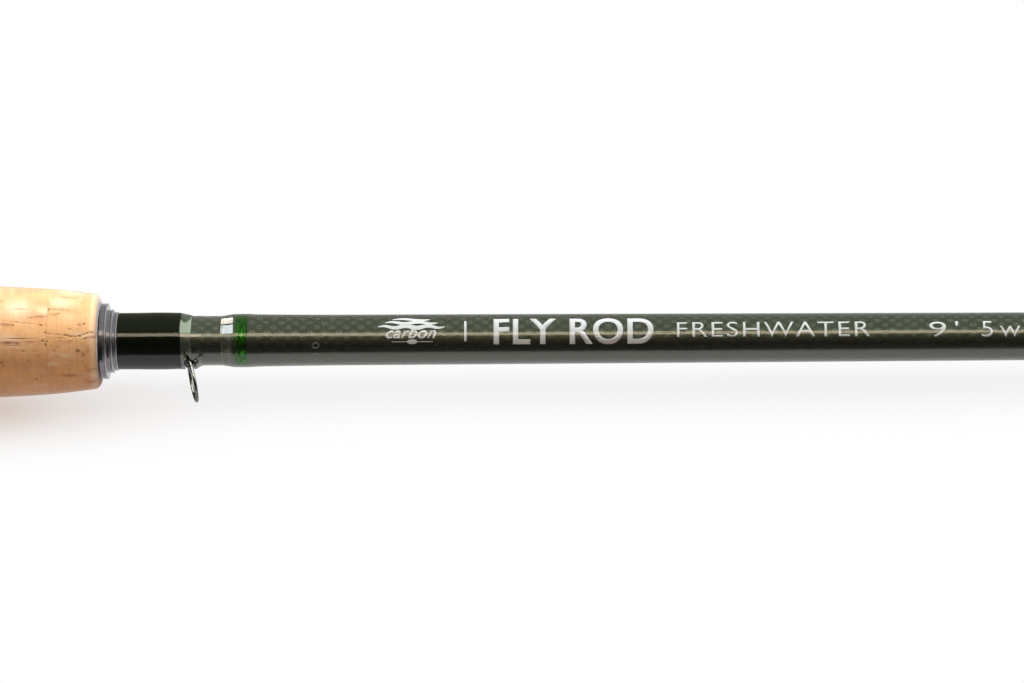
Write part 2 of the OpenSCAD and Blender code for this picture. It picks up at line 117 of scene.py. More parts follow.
def angles(n):
    return np.arange(n) * TURN / n


def down_angle(a):
    """Angle round the axis from straight down, for each of the angles a."""
    return (a + math.pi / 2 + math.pi) % TURN - math.pi


def linked(name, data):
    """A new object in the scene."""
    obj = bpy.data.objects.new(name, data)
    bpy.context.scene.collection.objects.link(obj)
    return obj


def smooth(mesh, sharp):
    mesh.shade_smooth()
    if sharp:
        mesh.set_sharp_from_angle(angle=math.radians(sharp))


def add_mesh(name, verts, quads, ngons=(), sharp=35):
    """A mesh object from vertices in mm."""
    mesh = bpy.data.meshes.new(name)
    loops = np.concatenate([np.ravel(quads), *ngons]).astype(np.int32)
    starts = np.cumsum([0] + [4] * len(quads) + [len(g) for g in ngons])[:-1]
    mesh.vertices.add(len(verts))
    mesh.vertices.foreach_set("co", (np.asarray(verts) * MM).astype(np.float32).ravel())
    mesh.loops.add(len(loops))
    mesh.loops.foreach_set("vertex_index", loops)
    mesh.polygons.add(len(starts))
    mesh.polygons.foreach_set("loop_start", starts.astype(np.int32))
    mesh.update(calc_edges=True)
    mesh.validate()
    smooth(mesh, sharp)
    return linked(name, mesh)


def grid_faces(rows, n, closed):
    """Quads between rings of n points; closed joins the last ring to the first."""
    i, k = np.arange(rows if closed else rows - 1)[:, None], np.arange(n)[None, :]
    i2, k2 = (i + 1) % rows, (k + 1) % n
    return np.stack([i * n + k, i * n + k2, i2 * n + k2, i2 * n + k], -1).reshape(-1, 4)


def caps(rows, n):
    """The end faces of an open row of rings."""
    return np.arange(n)[::-1], np.arange(n) + (rows - 1) * n


def shell(name, xs, rs, n, hollow=True, sharp=35):
    """A turned or lofted body: a closed tube, or a solid with flat ends.

    rs holds a radius or n radii for each ring.
    """
    count, a = len(xs), angles(n)
    xs, rs = (np.broadcast_to(np.asarray(v, float).reshape(count, -1), (count, n))
              for v in (xs, rs))
    verts = np.stack([xs, rs * np.cos(a), rs * np.sin(a)], -1).reshape(-1, 3)
    return add_mesh(name, verts, grid_faces(count, n, hollow),
                    () if hollow else caps(count, n), sharp)


def rounded(outer, inner, bevel, steps=3):
    """The closed outline of two lines of [x, radius], each corner made a short curve."""
    points = np.vstack([outer, inner[::-1]]).astype(float)
    out = []
    for i, p in enumerate(points):
        a, b = points[i - 1], points[(i + 1) % len(points)]
        la, lb = np.linalg.norm(a - p), np.linalg.norm(b - p)
        cut = min(bevel, 0.45 * la, 0.45 * lb)
        start, end = p + (a - p) * cut / la, p + (b - p) * cut / lb
        for t in np.linspace(0, 1, steps + 1):
            out.append((1 - t) ** 2 * start + 2 * t * (1 - t) * p + t * t * end)
    return np.array(out)


def lathe(name, outer, inner, n=96, bevel=0.1, steps=3):
    """A tube turned from an outer and an inner line, with eased edges."""
    outline = rounded(outer, inner, bevel, steps)
    return shell(name, outline[:, 0], outline[:, 1], n)


def curve_line(line, step):
    """The line resampled by a smooth curve that keeps its points."""
    x, y = np.asarray(line, float).T
    m = np.gradient(y, x)
    xs = np.append(np.arange(x[0], x[-1], step), x[-1])
    i = np.clip(np.searchsorted(x, xs, "right") - 1, 0, len(x) - 2)
    w = x[i + 1] - x[i]
    t = (xs - x[i]) / w
    ys = (y[i] * (2 * t**3 - 3 * t**2 + 1) + y[i + 1] * (3 * t**2 - 2 * t**3)
          + m[i] * w * (t**3 - 2 * t**2 + t) + m[i + 1] * w * (t**3 - t**2))
    return np.stack([xs, ys], -1)


def sweep(name, path, radius, sides=20, closed=False):
    """A round wire along a path; radius is a number or one number for each point."""
    path = np.asarray(path, float)
    n = len(path)
    ahead = np.roll(path, -1, 0) - np.roll(path, 1, 0)
    if not closed:
        ahead[0], ahead[-1] = path[1] - path[0], path[-1] - path[-2]
    ahead /= np.linalg.norm(ahead, axis=1)[:, None]
    side = np.cross(ahead[0], [0.0, 0.3, 1.0])
    side /= np.linalg.norm(side)
    a = angles(sides)
    verts = []
    for point, r, t in zip(path, np.broadcast_to(radius, (n,)), ahead):
        side = side - t * side.dot(t)
        side /= np.linalg.norm(side)
        verts.append(point + r * (np.cos(a)[:, None] * side
                                  + np.sin(a)[:, None] * np.cross(t, side)))
    return add_mesh(name, np.concatenate(verts), grid_faces(n, sides, closed),
                    () if closed else caps(n, sides))


NO_TURN = Matrix.Identity(3)


def torus(name, centre, radius, tube, turn=NO_TURN, around=96, sides=24):
    """A ring round an axis that the rotation turn brings X to."""
    t = angles(around)
    path = np.stack([0 * t, radius * np.cos(t), radius * np.sin(t)], -1)
    path = path @ np.array(turn).T + np.asarray(centre)
    return sweep(name, path, tube, sides, closed=True)


def bezier(a, b, c, n):
    t = np.linspace(0, 1, n)[:, None]
    return (1 - t) ** 2 * np.array(a) + 2 * t * (1 - t) * np.array(b) + t * t * np.array(c)


def join(name, parts):
    """Several mesh objects as one object."""
    verts, quads, ngons, first = [], [], [], 0
    for o in parts:
        mesh = o.data
        co = np.empty(len(mesh.vertices) * 3, np.float32)
        mesh.vertices.foreach_get("co", co)
        verts.append(co.reshape(-1, 3) / MM)
        for p in mesh.polygons:
            (quads if len(p.vertices) == 4 else ngons).append(np.array(p.vertices) + first)
        first += len(mesh.vertices)
        bpy.data.objects.remove(o)
        bpy.data.meshes.remove(mesh)
    return add_mesh(name, np.concatenate(verts), np.array(quads), ngons)


def place(obj, look, *replaces, body=BUTT, slot=True):
    """Gives a piece its material and body, and hides the CAD nodes it stands for; slot is
    not used.
    """
    obj.data.materials.clear()
    obj.data.materials.append(MAT[look])
    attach(obj, body)
    if replaces:
        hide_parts(*replaces)


# ---- node materials ------------------------------------------------------------------


class Tree:
    """Short ways to add and link the nodes of one material or world."""

    def __init__(self, owner):
        owner.use_nodes = True
        self.tree = owner.node_tree

    def put(self, socket, value):
        if isinstance(value, bpy.types.NodeSocket):
            self.tree.links.new(value, socket)
        elif socket.type == "RGBA":
            socket.default_value = (*value[:3], 1.0)
        else:
            socket.default_value = value

    def add(self, kind, inputs=None, out=0, **props):
        node = self.tree.nodes.new(kind)
        for key, value in props.items():
            setattr(node, key, value)
        for key, value in (inputs or {}).items():
            self.put(node.inputs[key], value)
        return node.outputs[out]

    def op(self, operation, a, b=0.0, c=0.0):
        return self.add("ShaderNodeMath", {0: a, 1: b, 2: c}, operation=operation)

    def times(self, a, b):
        return self.op("MULTIPLY", a, b)

    def plus(self, a, b):
        return self.op("ADD", a, b)

    def bell(self, value):
        """exp(-value squared)"""
        return self.op("EXPONENT", self.times(self.times(value, value), -1.0))

    def dot(self, vector, direction):
        return self.add("ShaderNodeVectorMath", {0: vector, 1: tuple(direction)}, out=1,
                        operation="DOT_PRODUCT")

    def scaled(self, vector, factors):
        return self.add("ShaderNodeVectorMath", {0: vector, 1: factors},
                        operation="MULTIPLY")

    def vector(self, x, y, z=0.0):
        return self.add("ShaderNodeCombineXYZ", {0: x, 1: y, 2: z})

    def step(self, value, low, high, out_low=0.0, out_high=1.0):
        return self.add("ShaderNodeMapRange",
                        {"Value": value, "From Min": low, "From Max": high,
                         "To Min": out_low, "To Max": out_high},
                        interpolation_type="SMOOTHSTEP")

    def window(self, value, low, high, soft_low, soft_high=None):
        """1 between low and high, 0 outside."""
        soft_high = soft_high or soft_low
        return self.times(self.step(value, low - soft_low, low + soft_low),
                          self.step(value, high - soft_high, high + soft_high, 1.0, 0.0))

    def mix(self, factor, a, b, blend="MIX"):
        return self.add("ShaderNodeMix", {0: factor, 6: a, 7: b}, out=2, data_type="RGBA",
                        blend_type=blend)

    def ramp(self, factor, stops):
        ramp = self.add("ShaderNodeValToRGB", {0: factor})
        elements = ramp.node.color_ramp.elements
        while len(elements) < len(stops):
            elements.new(0.5)
        for element, (place_at, colour) in zip(elements, stops):
            element.position, element.color = place_at, (*colour, 1.0)
        return ramp

    def coords(self):
        """Object coordinates in mm: the vector, then x, y and z."""
        mm = self.scaled(self.add("ShaderNodeTexCoord", out=3), (1 / MM,) * 3)
        return mm, *self.add("ShaderNodeSeparateXYZ", {0: mm}).node.outputs

    def noise(self, vector, scale, detail=3.0, rough=0.5, distortion=0.0):
        return self.add("ShaderNodeTexNoise",
                        {"Vector": vector, "Scale": scale, "Detail": detail,
                         "Roughness": rough, "Distortion": distortion})

    def bump(self, height, distance, strength=1.0):
        return self.add("ShaderNodeBump", {"Height": height, "Distance": distance * MM,
                                           "Strength": strength})

    def finish(self, **values):
        """Sets inputs of the Principled shader."""
        inputs = self.tree.nodes["Principled BSDF"].inputs
        for key, value in values.items():
            self.put(inputs[key.replace("_", " ")], value)


MAT = {}


def material(name):
    """A new node material, listed in MAT."""
    MAT[name] = bpy.data.materials.new(name)
    return Tree(MAT[name])


def grained(name, noise, low, high, bump, space=(1, 1, 1), edge=None, rough=0.5, **values):
    """One noise sets the colour, the height and, if rough holds four numbers, gloss."""
    t = material(name)
    grain = t.noise(t.scaled(t.coords()[0], space), *noise)
    share = t.step(grain, *edge) if edge else grain
    gloss = t.step(grain, *rough) if isinstance(rough, tuple) else rough
    t.finish(Base_Color=t.mix(share, low, high), Roughness=gloss,
             Normal=t.bump(grain, *bump), **values)


def wire_metal(name, colour, rough):
    """Drawn and polished wire with faint scratches."""
    return grained(name, (6.0, 5, 0.75, 1.5), colour, tuple(0.7 * c for c in colour),
                   (0.01, 0.4), edge=(0.35, 0.7), rough=(0.3, 0.8, rough, 1.8 * rough),
                   Metallic=1.0)


def turned_metal(name, colour, rough, brush):
    """Metal with fine turning marks round the rod's axis and cloudy polish."""
    t = material(name)
    mm = t.coords()[0]
    lines = t.noise(t.scaled(mm, (14.0, 0.0, 0.0)), 1.0, 3, 0.7)
    cloud = t.noise(mm, 0.5, 4, 0.6)
    base = t.mix(cloud, colour, tuple(1.25 * c for c in colour))
    t.finish(Base_Color=base, Metallic=1.0,
             Roughness=t.plus(rough, t.times(cloud, 0.5 * rough)),
             Normal=t.bump(lines, 0.004 * brush, 0.5))


def print_paint(name, share):
    return grained(name, (7.0, 3, 0.7), tuple(share * c for c in (0.48, 0.47, 0.43)),
                   tuple(share * c for c in (0.575, 0.56, 0.51)), (0.01, 0.3),
                   edge=(0.3, 0.7), Specular_IOR_Level=0.2)


def cork_material():
    t = material("cork")
    mm = t.coords()[0]
    pit_and_shade, stain, tone_and_highlight = (t.add("ShaderNodeAttribute", out=2, attribute_name=n)
                        for n in ("pit_and_shade", "stain", "tone_and_highlight"))
    cells = t.noise(mm, 2.4, 5, 0.7)
    streak = t.noise(t.scaled(mm, (1.0, 0.35, 0.35)), 0.9, 4, 0.6, 0.6)
    lathe_marks = t.noise(t.scaled(mm, (4.0, 0.12, 0.12)), 1.0, 3, 0.6)
    base = t.ramp(t.noise(mm, 0.16, 4, 0.55, 0.4),
                  [(0.3, (0.60, 0.245, 0.068)), (0.5, (0.71, 0.325, 0.095)),
                   (0.72, (0.77, 0.39, 0.13))])
    # Besides pits, stains and pale growth layers, the attributes carry painted light at the
    # front ring: painted shade at its corner and on its face, and a painted highlight along
    # its corner edge
    for share, colour in ((t.step(lathe_marks, 0.42, 0.62, 0.0, 0.22), (0.86, 0.55, 0.25)),
                          (t.step(streak, 0.40, 0.70, 0.0, 0.45), (0.50, 0.225, 0.085)),
                          (t.step(cells, 0.5, 0.8, 0.0, 0.4), (0.38, 0.165, 0.06)),
                          (tone_and_highlight, (0.84, 0.66, 0.40)), (stain, (0.27, 0.070, 0.030)),
                          (pit_and_shade, (0.075, 0.032, 0.014))):
        base = t.mix(share, base, colour)
    height = t.plus(t.times(cells, 0.6), t.noise(mm, 9.0, 2))
    t.finish(Base_Color=base, Roughness=0.82, Specular_IOR_Level=0.25,
             Normal=t.bump(height, 0.05, 0.6), Sheen_Weight=0.8,
             Sheen_Roughness=0.45, Sheen_Tint=(1.0, 0.97, 0.9))


def wood_material():
    """Burl: swirling rings with dark eyes under varnish."""
    t = material("seat_wood")
    mm = t.coords()[0]
    swirl = t.noise(mm, 0.11, 5, 0.62, 2.2)
    waves = t.op("SINE", t.times(swirl, 38.0))
    eyes = t.add("ShaderNodeTexVoronoi", {"Vector": mm, "Scale": 0.22})
    pores = t.noise(mm, 4.0, 3, 0.7)
    base = t.ramp(t.op("MULTIPLY_ADD", waves, 0.28, t.plus(swirl, 0.05)),
                  [(0.1, (0.045, 0.014, 0.005)), (0.45, (0.12, 0.044, 0.014)),
                   (0.75, (0.20, 0.083, 0.028)), (1.0, (0.26, 0.12, 0.045))])
    base = t.mix(t.step(eyes, 0.0, 0.35, 0.75, 0.0), base, (0.03, 0.010, 0.005))
    base = t.mix(t.step(pores, 0.58, 0.75, 0.0, 0.5), base, (0.04, 0.015, 0.008))
    t.finish(Base_Color=base, Roughness=0.5, Specular_IOR_Level=0.1, Coat_Weight=0.7,
             Coat_Roughness=0.05, Normal=t.bump(pores, 0.03, 0.3))


CELLS_ROUND, CELL_LENGTH = 28, 1.35  # cells of the carbon's weave
YARN_ALONG, YARN_CROSS = (0.056, 0.060, 0.044), (0.086, 0.104, 0.080)


def carbon_material():
    """Woven carbon under a clear finish, which the epoxy over the print stands in for."""
    t = material("carbon")
    mm, x, y, z = t.coords()
    wander = t.noise(mm, 0.45, 2, 0.5)
    u = t.op("MULTIPLY_ADD", wander, 0.35, t.op("DIVIDE", x, CELL_LENGTH))
    v = t.op("MULTIPLY_ADD", wander, 0.4,
             t.times(t.op("ARCTAN2", z, y), CELLS_ROUND / TURN))
    wave = t.times(*(t.op("SINE", t.times(w, math.pi)) for w in (u, v)))
    cell = t.add("ShaderNodeTexWhiteNoise",
                 {"Vector": t.vector(t.op("FLOOR", u), t.op("FLOOR", v))})
    fibres = t.noise(t.vector(t.times(x, 1.2), t.times(v, 9.0)), 1.0, 2)
    # painted light: the weave's contrast is painted full on the side facing UP, where the
    # light comes from, and faint on the underside
    painted_lit_side = t.dot(t.add("ShaderNodeNewGeometry", out=1), UP)
    base = t.mix(t.times(t.step(wave, -0.1, 0.55), t.step(painted_lit_side, -0.35, 0.25, 0.15, 1.0)),
                 YARN_ALONG, YARN_CROSS)
    shade = t.plus(t.times(cell, 0.10), t.op("MULTIPLY_ADD", fibres, 0.12, 0.9))
    base = t.mix(1.0, base, t.vector(shade, shade, shade), "MULTIPLY")
    finish = t.op("SUBTRACT", 1.0, t.window(x, *span("graphics_coat"), 0.05, 0.3))
    t.finish(Base_Color=base, Metallic=0.95, Roughness=0.25, Coat_Weight=finish,
             Coat_Roughness=0.0, Coat_IOR=1.5)


def green_material():
    """Metallic thread: bright and dark strands, with glints painted into its colour."""
    t = material("green_thread")
    _, x, y, z = t.coords()
    along = t.times(t.op("ARCTAN2", z, y), 4.9)
    slant = t.op("MULTIPLY_ADD", along, 0.10, x)
    strand = t.noise(t.vector(t.times(slant, 4.2), t.times(along, 0.55)), 1.0, 3, 0.75, 0.3)
    glint = t.noise(t.vector(t.times(slant, 7.0), t.times(along, 1.9), 3.0), 1.0, 2, 0.8)
    base = t.ramp(strand, [(0.40, (0.0005, 0.003, 0.0002)), (0.49, (0.003, 0.035, 0.001)),
                           (0.57, (0.010, 0.13, 0.003)), (0.68, (0.03, 0.26, 0.010))])
    # painted glints: spots of the glint noise turn the colour bright green
    base = t.mix(t.step(glint, 0.60, 0.72), base, (0.22, 0.62, 0.08))
    t.finish(Base_Color=base, Metallic=1.0, Roughness=0.2,
             Normal=t.bump(strand, 0.02, 0.3))


def epoxy_material():
    """A clear film: what is under it shows, and its outside mirrors the studio."""
    t = material("epoxy")
    t.tree.nodes.remove(t.tree.nodes["Principled BSDF"])
    ripple = t.bump(t.noise(t.coords()[0], 0.35, 2, 0.4), 0.004, 0.35)
    outside = t.op("SUBTRACT", 1.0, t.add("ShaderNodeNewGeometry", out=6))
    share = t.times(t.add("ShaderNodeFresnel", {"IOR": 1.52, "Normal": ripple}), outside)
    clear = t.add("ShaderNodeBsdfTransparent", {"Color": (0.985, 0.985, 0.975)})
    gloss = t.add("ShaderNodeBsdfGlossy", {"Color": (1, 1, 1), "Roughness": 0.0,
                                           "Normal": ripple})
    t.put(t.tree.nodes["Material Output"].inputs[0],
          t.add("ShaderNodeMixShader", {0: share, 1: clear, 2: gloss}))


cork_material()
wood_material()
carbon_material()
green_material()
epoxy_material()
turned_metal("seat_metal", (0.085, 0.082, 0.080), 0.20, 2.0)
turned_metal("check_metal", (0.125, 0.118, 0.124), 0.05, 0.3)
for metal, tint, polish in (("keeper_metal", (0.20, 0.195, 0.185), 0.0),
                            ("eye_metal", (0.055, 0.052, 0.048), 0.12),
                            ("clip_steel", (0.55, 0.54, 0.52), 0.16),
                            ("guide_frame", (0.14, 0.137, 0.133), 0.18),
                            ("guide_wire", (0.27, 0.265, 0.255), 0.10)):
    wire_metal(metal, tint, polish)
print_paint("print", 1.0)
print_paint("fine_print", 0.34)
grained("guide_ceramic", (1.4, 4, 0.6), (0.46, 0.46, 0.44), (0.60, 0.59, 0.56), (0.01, 0.2),
        rough=(0.3, 0.7, 0.08, 0.16), Coat_Weight=0.6)
grained("rubber", (5.0, 4, 0.6), (0.018, 0.018, 0.017), (0.04, 0.039, 0.037), (0.08, 0.6),
        rough=0.75)
grained("arbor", (1.5, 5, 0.7), (0.20, 0.17, 0.13), (0.34, 0.30, 0.24), (0.1, 0.5),
        rough=0.9)
grained("dark_thread", (1.0, 3, 0.7), (0.0006, 0.0009, 0.0001), (0.0022, 0.0032, 0.0005),
        (0.004, 0.4), space=(16.0, 1.2, 1.2), rough=0.4, Specular_IOR_Level=0.0)

# ---- reel seat -----------------------------------------------------------------------

FLUTES = 24
SEAT_R = widest("seat_insert")
PITCH, THREAD_DEEP = 1.5, 0.42
KEYWAY_HALF, KEYWAY_DEEP, KEYWAY_EASE = 1.3, 0.7, 0.25
# a hood's collar, and the room for the reel foot: radius, height of its centre, wall
COLLAR_R, POCKET_R, POCKET_Z, POCKET_WALL = 10.4, 7.4, -5.8, 1.1
HOOD_EASE, SWELL_SOFT = 0.7, 0.35
NUT_R, NUT_EASED_R = 11.4, 10.6


def fluted(name, line, inner, depth, x0, x1):
    """A turned tube with round grip flutes between two places."""
    outline = rounded(line, inner, 0.15)
    dense = []  # extra rings, so that the flutes' ends are round
    for p, q in zip(outline, np.roll(outline, -1, 0)):
        steps = max(1, int(abs(q[0] - p[0]) / 0.25) - 1) if abs(q[0] - p[0]) > 0.5 else 1
        dense += [p + (q - p) * t for t in np.arange(steps) / steps]
    x, r = np.array(dense).T
    n = 12 * FLUTES
    cut = np.clip(np.cos(angles(n) * FLUTES) * 1.6 - 0.6, 0, 1) ** 0.5
    near = np.clip(np.minimum(x - x0, x1 - x) / 0.5, 0, 1) ** 0.5
    near = near * (r > max(p[1] for p in line) - 1.2)
    return shell(name, x, r[:, None] - depth * near[:, None] * cut, n, sharp=50)


def butt_end():
    """The butt cap round its rubber pad, which has shallow rings moulded in its face."""
    pad_end, pad_r = outer_line("butt_pad")[-1]
    outline = [(0.05 + 0.05 * math.cos(TURN * r / 1.6), r)
               for r in np.arange(0.05, pad_r - 0.7, 0.08)]
    outline += [(0.6 * (1 - math.cos(t)), pad_r - 0.6 + 0.6 * math.sin(t))
                for t in np.linspace(0, math.pi / 2, 8)]
    outline += [(pad_end, pad_r), (pad_end, 0.05)]
    place(shell("butt_pad_rubber", *zip(*outline), 96, hollow=False), "rubber", "butt_pad")

    cap = outer_line("butt_cap")
    x0, x1 = span("butt_cap")
    room, room_r = pad_end + 0.02, pad_r + 0.02
    bore = at(CORE, x0 + 5) + 0.04
    line = [(x0, cap[0, 1]), (x0 + 0.8, 10.8), (7.6, 10.8), (x1, cap[-1, 1])]
    inner = [(x0, room_r), (room, room_r), (room, bore), (x1, bore)]
    place(fluted("butt_cap_metal", line, inner, 0.28, 2.4, 6.6), "seat_metal", "butt_cap")


def barrel_thread():
    """The seat's threaded barrel: one helical ridge, cut by the keyway on top."""
    x0, x1 = span("seat_barrel")
    r, n = widest("seat_barrel"), 192
    a = angles(n)
    xs = np.arange(x0, x1 + 0.01, PITCH / 12)
    phase = (xs[:, None] / PITCH - a / TURN) % 1.0
    ridge = np.clip(2.2 - abs(phase - 0.5) * 6.5, 0, 1)
    ends = np.clip(np.minimum(xs - x0, x1 - 1.2 - xs), 0, 1)[:, None]
    off = abs(down_angle(a + math.pi)) * r
    key = np.clip((off - KEYWAY_HALF) / KEYWAY_EASE, 0, 1)
    rows = np.minimum(r - THREAD_DEEP + THREAD_DEEP * ridge * ends,
                      r - KEYWAY_DEEP + (KEYWAY_DEEP + 0.05) * key)
    rows = np.concatenate([rows[:1] - 0.15, rows, rows[-1:] - 0.15,
                           np.full((2, n), widest("barrel_arbor") + 0.02)])
    place(shell("seat_barrel_thread", [xs[0], *xs, xs[-1], x1, x0], rows, n, sharp=45),
          "seat_metal", "seat_barrel")


def reel_seat():
    butt_end()
    barrel_thread()
    x0, x1 = span("seat_insert")
    place(lathe("seat_insert_burl", [(x0, SEAT_R), (x1, SEAT_R)],
                [(x, at(CORE, x) + 0.02) for x in (x0, x1)], 128, 0.3),
          "seat_wood", "seat_insert")
    NODES["barrel_arbor"].data.materials.clear()
    NODES["barrel_arbor"].data.materials.append(MAT["arbor"])


def pocket_reach(a, radius):
    """Distance from the axis, at each angle, to a circle round the pocket's centre."""
    s = np.sin(a) * POCKET_Z
    return s + np.sqrt(np.maximum(radius**2 - POCKET_Z**2 + s * s, 0))


def hood(node, body, bore):
    """A collar that swells over the reel foot.

    bore holds [x, radius, whether the pocket is open there] along the inside.
    """
    x0, x1 = span(node)
    n = 192
    a = angles(n)
    swell = (pocket_reach(a, POCKET_R + POCKET_WALL) - COLLAR_R) / SWELL_SOFT
    outer = COLLAR_R + SWELL_SOFT * np.log1p(np.exp(swell))
    q = np.linspace(0, math.pi / 2, 6)
    rise, fall = HOOD_EASE * (1 - np.cos(q)), HOOD_EASE * (1 - np.sin(q))
    middle = np.linspace(x0 + HOOD_EASE, x1 - HOOD_EASE, 24)[1:-1]
    xs = [*(x0 + rise), *middle, *(x1 - fall)]
    rows = [outer - low for low in (*fall, *(0 * middle), *rise)]
    opening = np.maximum(pocket_reach(a, POCKET_R), 0)
    for x, r, is_open in reversed(bore):
        xs.append(x)
        rows.append(np.maximum(opening, r) if is_open else np.full(n, r))
    place(shell(f"{node}_metal", xs, rows, n, sharp=40), "seat_metal", node, body=body)


def key_block(name, corner, size):
    """A small block with eased edges."""
    bm = bmesh.new()
    bmesh.ops.create_cube(bm, size=1.0)
    for v in bm.verts:
        v.co = [(corner[i] + size[i] * (v.co[i] + 0.5)) * MM for i in range(3)]
    bmesh.ops.bevel(bm, geom=list(bm.edges), offset=0.15 * MM, segments=3, profile=0.5,
                    affect="EDGES")
    obj = from_bmesh(name, bm)
    smooth(obj.data, 40)
    return obj


def from_bmesh(name, bm):
    mesh = bpy.data.meshes.new(name)
    bm.to_mesh(mesh)
    bm.free()
    return linked(name, mesh)


def hoods():
    x0, x1 = span("fixed_hood")
    fixed = SEAT_R + 0.02
    hood("fixed_hood", BUTT, [(x0, fixed, True), (x1 - 1.5, fixed, True),
                              (x1 - 1.5, fixed, False), (x1, fixed, False)])
    x0, x1 = span("sliding_hood")
    bore, room, groove = SEAT_R + 0.08, SEAT_R + 1.02, SEAT_R + 1.44
    clip0 = span("hood_clip")[0] - 0.02
    clip1 = clip0 + 0.64
    hood("sliding_hood", "hood",
         [(x0, room, False), (clip0, room, False), (clip0, groove, False),
          (clip1, groove, False), (clip1, room, False), (x0 + 2.4, room, False),
          (x0 + 2.4, bore, False), (x1 - 9, bore, False), (x1 - 9, bore, True),
          (x1, bore, True)])
    place(key_block("sliding_hood_key", (x0 + 3, -1.2, SEAT_R - 0.6), (3, 2.4, 1.0)),
          "seat_metal", body="hood")

    x0, x1 = span("hood_clip")
    clip_r = SEAT_R + 1.12
    path = [((x0 + x1) / 2, clip_r * math.cos(t), clip_r * math.sin(t))
            for t in np.linspace(math.radians(99), math.radians(441), 120)]
    place(sweep("hood_clip_wire", path, 0.29, 16), "clip_steel", "hood_clip", body="hood")

    x0, x1 = span("lock_nut")
    end = x1 - 2
    bore, spigot = SEAT_R + 0.06, SEAT_R + 0.96
    line = [(x0, NUT_EASED_R), (x0 + 0.8, NUT_R), (end - 0.8, NUT_R), (end, NUT_EASED_R),
            (end, spigot), (end + 0.9, spigot), (end + 0.9, spigot - 0.2),
            (end + 1.6, spigot - 0.2), (end + 1.6, spigot), (x1, spigot)]
    place(fluted("lock_nut_metal", line, [(x0, bore), (x1, bore)], 0.36, x0 - 1,
                 end - 1.2), "seat_metal", "lock_nut", body="nut")


# ---- cork ----------------------------------------------------------------------------

# Marks on the two rings nearest the blank: distance behind the ring's front, degrees round
# from +Y, half sizes along and around, lean, strength
RING_MARKS = {
    13: {
        "pit_and_shade": [
            (5.34, 142.4, 4.1, 0.07, 0, 0.5), (4.96, 193.8, 3.9, 0.06, 0.11, 0.5),
            (5.51, 193.3, 0.6, 0.12, 0.1, 0.6), (1.09, 196.4, 0.35, 0.14, 0.2, 0.8),
            (0.14, 204.7, 0.25, 0.2, 0.6, 0.8), (0.06, 217.8, 0.2, 0.5, 0, 1.0),
            (0.64, 213.8, 0.34, 0.13, 0, 0.9), (5.25, 211.2, 3.6, 0.05, 0, 0.5),
            (5.98, 218.4, 2.6, 0.05, 0, 0.35), (5.63, 223.9, 1.5, 0.06, 0, 0.5),
            (4.26, 224.2, 0.25, 0.12, 0, 0.7), (3.4, 234.5, 0.24, 0.18, 0, 0.65),
            (2.19, 258.4, 0.34, 0.17, 0.3, 0.85), (1.45, 229.7, 0.22, 0.14, 0, 0.6),
            (7.93, 239.3, 0.3, 0.2, 0, 0.6), (4.98, 253.7, 0.4, 0.08, 0, 0.35),
            (2.16, 224.3, 0.2, 0.12, 0, 0.4)],
        "stain": [
            (7.07, 214.9, 1.9, 0.42, 0, 0.95), (5.43, 215.4, 0.9, 0.4, 0, 0.85),
            (3.05, 214.1, 1.5, 0.35, 0, 0.55), (1.23, 214.5, 1.4, 0.5, 0, 0.3),
            (4.62, 237.5, 2.2, 1.3, 0, 0.2)],
        "tone_and_highlight": [
            (5.51, 175.8, 3.2, 2.6, 0, 0.6)],
    },
    14: {
        "pit_and_shade": [
            (8.0, 145.1, 0.55, 0.1, 0, 0.55), (8.78, 142.5, 0.3, 0.08, 0, 0.4),
            (8.91, 168.4, 0.1, 0.45, 0, 0.5), (8.75, 177.1, 0.12, 0.55, 0, 0.65),
            (8.8, 183.6, 0.08, 0.3, 0, 0.4), (3.18, 194.9, 0.22, 0.16, 0, 0.6),
            (2.18, 193.3, 0.26, 0.2, 0, 0.75), (4.6, 200.5, 0.32, 0.1, 0, 0.6),
            (4.97, 200.1, 0.2, 0.08, 0, 0.5), (8.41, 206.0, 0.5, 0.09, 0.05, 0.6),
            (6.95, 206.6, 0.6, 0.08, 0.05, 0.55), (5.49, 207.1, 0.55, 0.12, 0, 0.75),
            (4.67, 208.2, 0.5, 0.12, 0, 0.85), (3.76, 208.8, 0.3, 0.12, 0, 0.6),
            (2.95, 208.0, 0.42, 0.17, 0, 0.9), (2.22, 206.1, 0.35, 0.14, -0.3, 0.7),
            (1.59, 204.5, 0.3, 0.16, -0.4, 0.7), (0.77, 203.7, 0.4, 0.17, 0.2, 0.75),
            (0.04, 207.3, 0.2, 0.12, 0, 0.4), (6.58, 210.3, 0.9, 0.06, 0, 0.45),
            (8.22, 210.7, 1.0, 0.06, 0, 0.4), (4.76, 209.3, 0.7, 0.08, 0, 0.5),
            (8.87, 214.3, 0.2, 0.22, 0, 0.6), (8.22, 219.6, 0.25, 0.1, 0, 0.5),
            (6.49, 214.0, 0.25, 0.12, 0, 0.5), (3.32, 224.8, 0.22, 0.15, 0.3, 0.45),
            (2.44, 230.7, 0.14, 0.22, 0.5, 0.45), (4.66, 236.9, 0.16, 0.12, 0, 0.4),
            (8.16, 242.1, 0.2, 0.12, 0, 0.4)],
        "stain": [
            (2.63, 194.2, 0.8, 0.5, 0, 0.25), (4.58, 213.8, 0.5, 0.25, 0, 0.5),
            (5.85, 215.1, 1.6, 0.4, 0, 0.25), (3.32, 224.8, 0.55, 0.4, 0.3, 0.9),
            (2.34, 228.9, 0.5, 0.45, 0.9, 0.6), (1.5, 224.2, 0.6, 0.6, 0, 0.35),
            (2.03, 218.2, 1.0, 0.5, 0, 0.25)],
        "tone_and_highlight": [
            (6.57, 165.2, 3.0, 1.8, 0, 0.5), (4.88, 186.1, 2.0, 1.2, 0, 0.25)],
    },
}


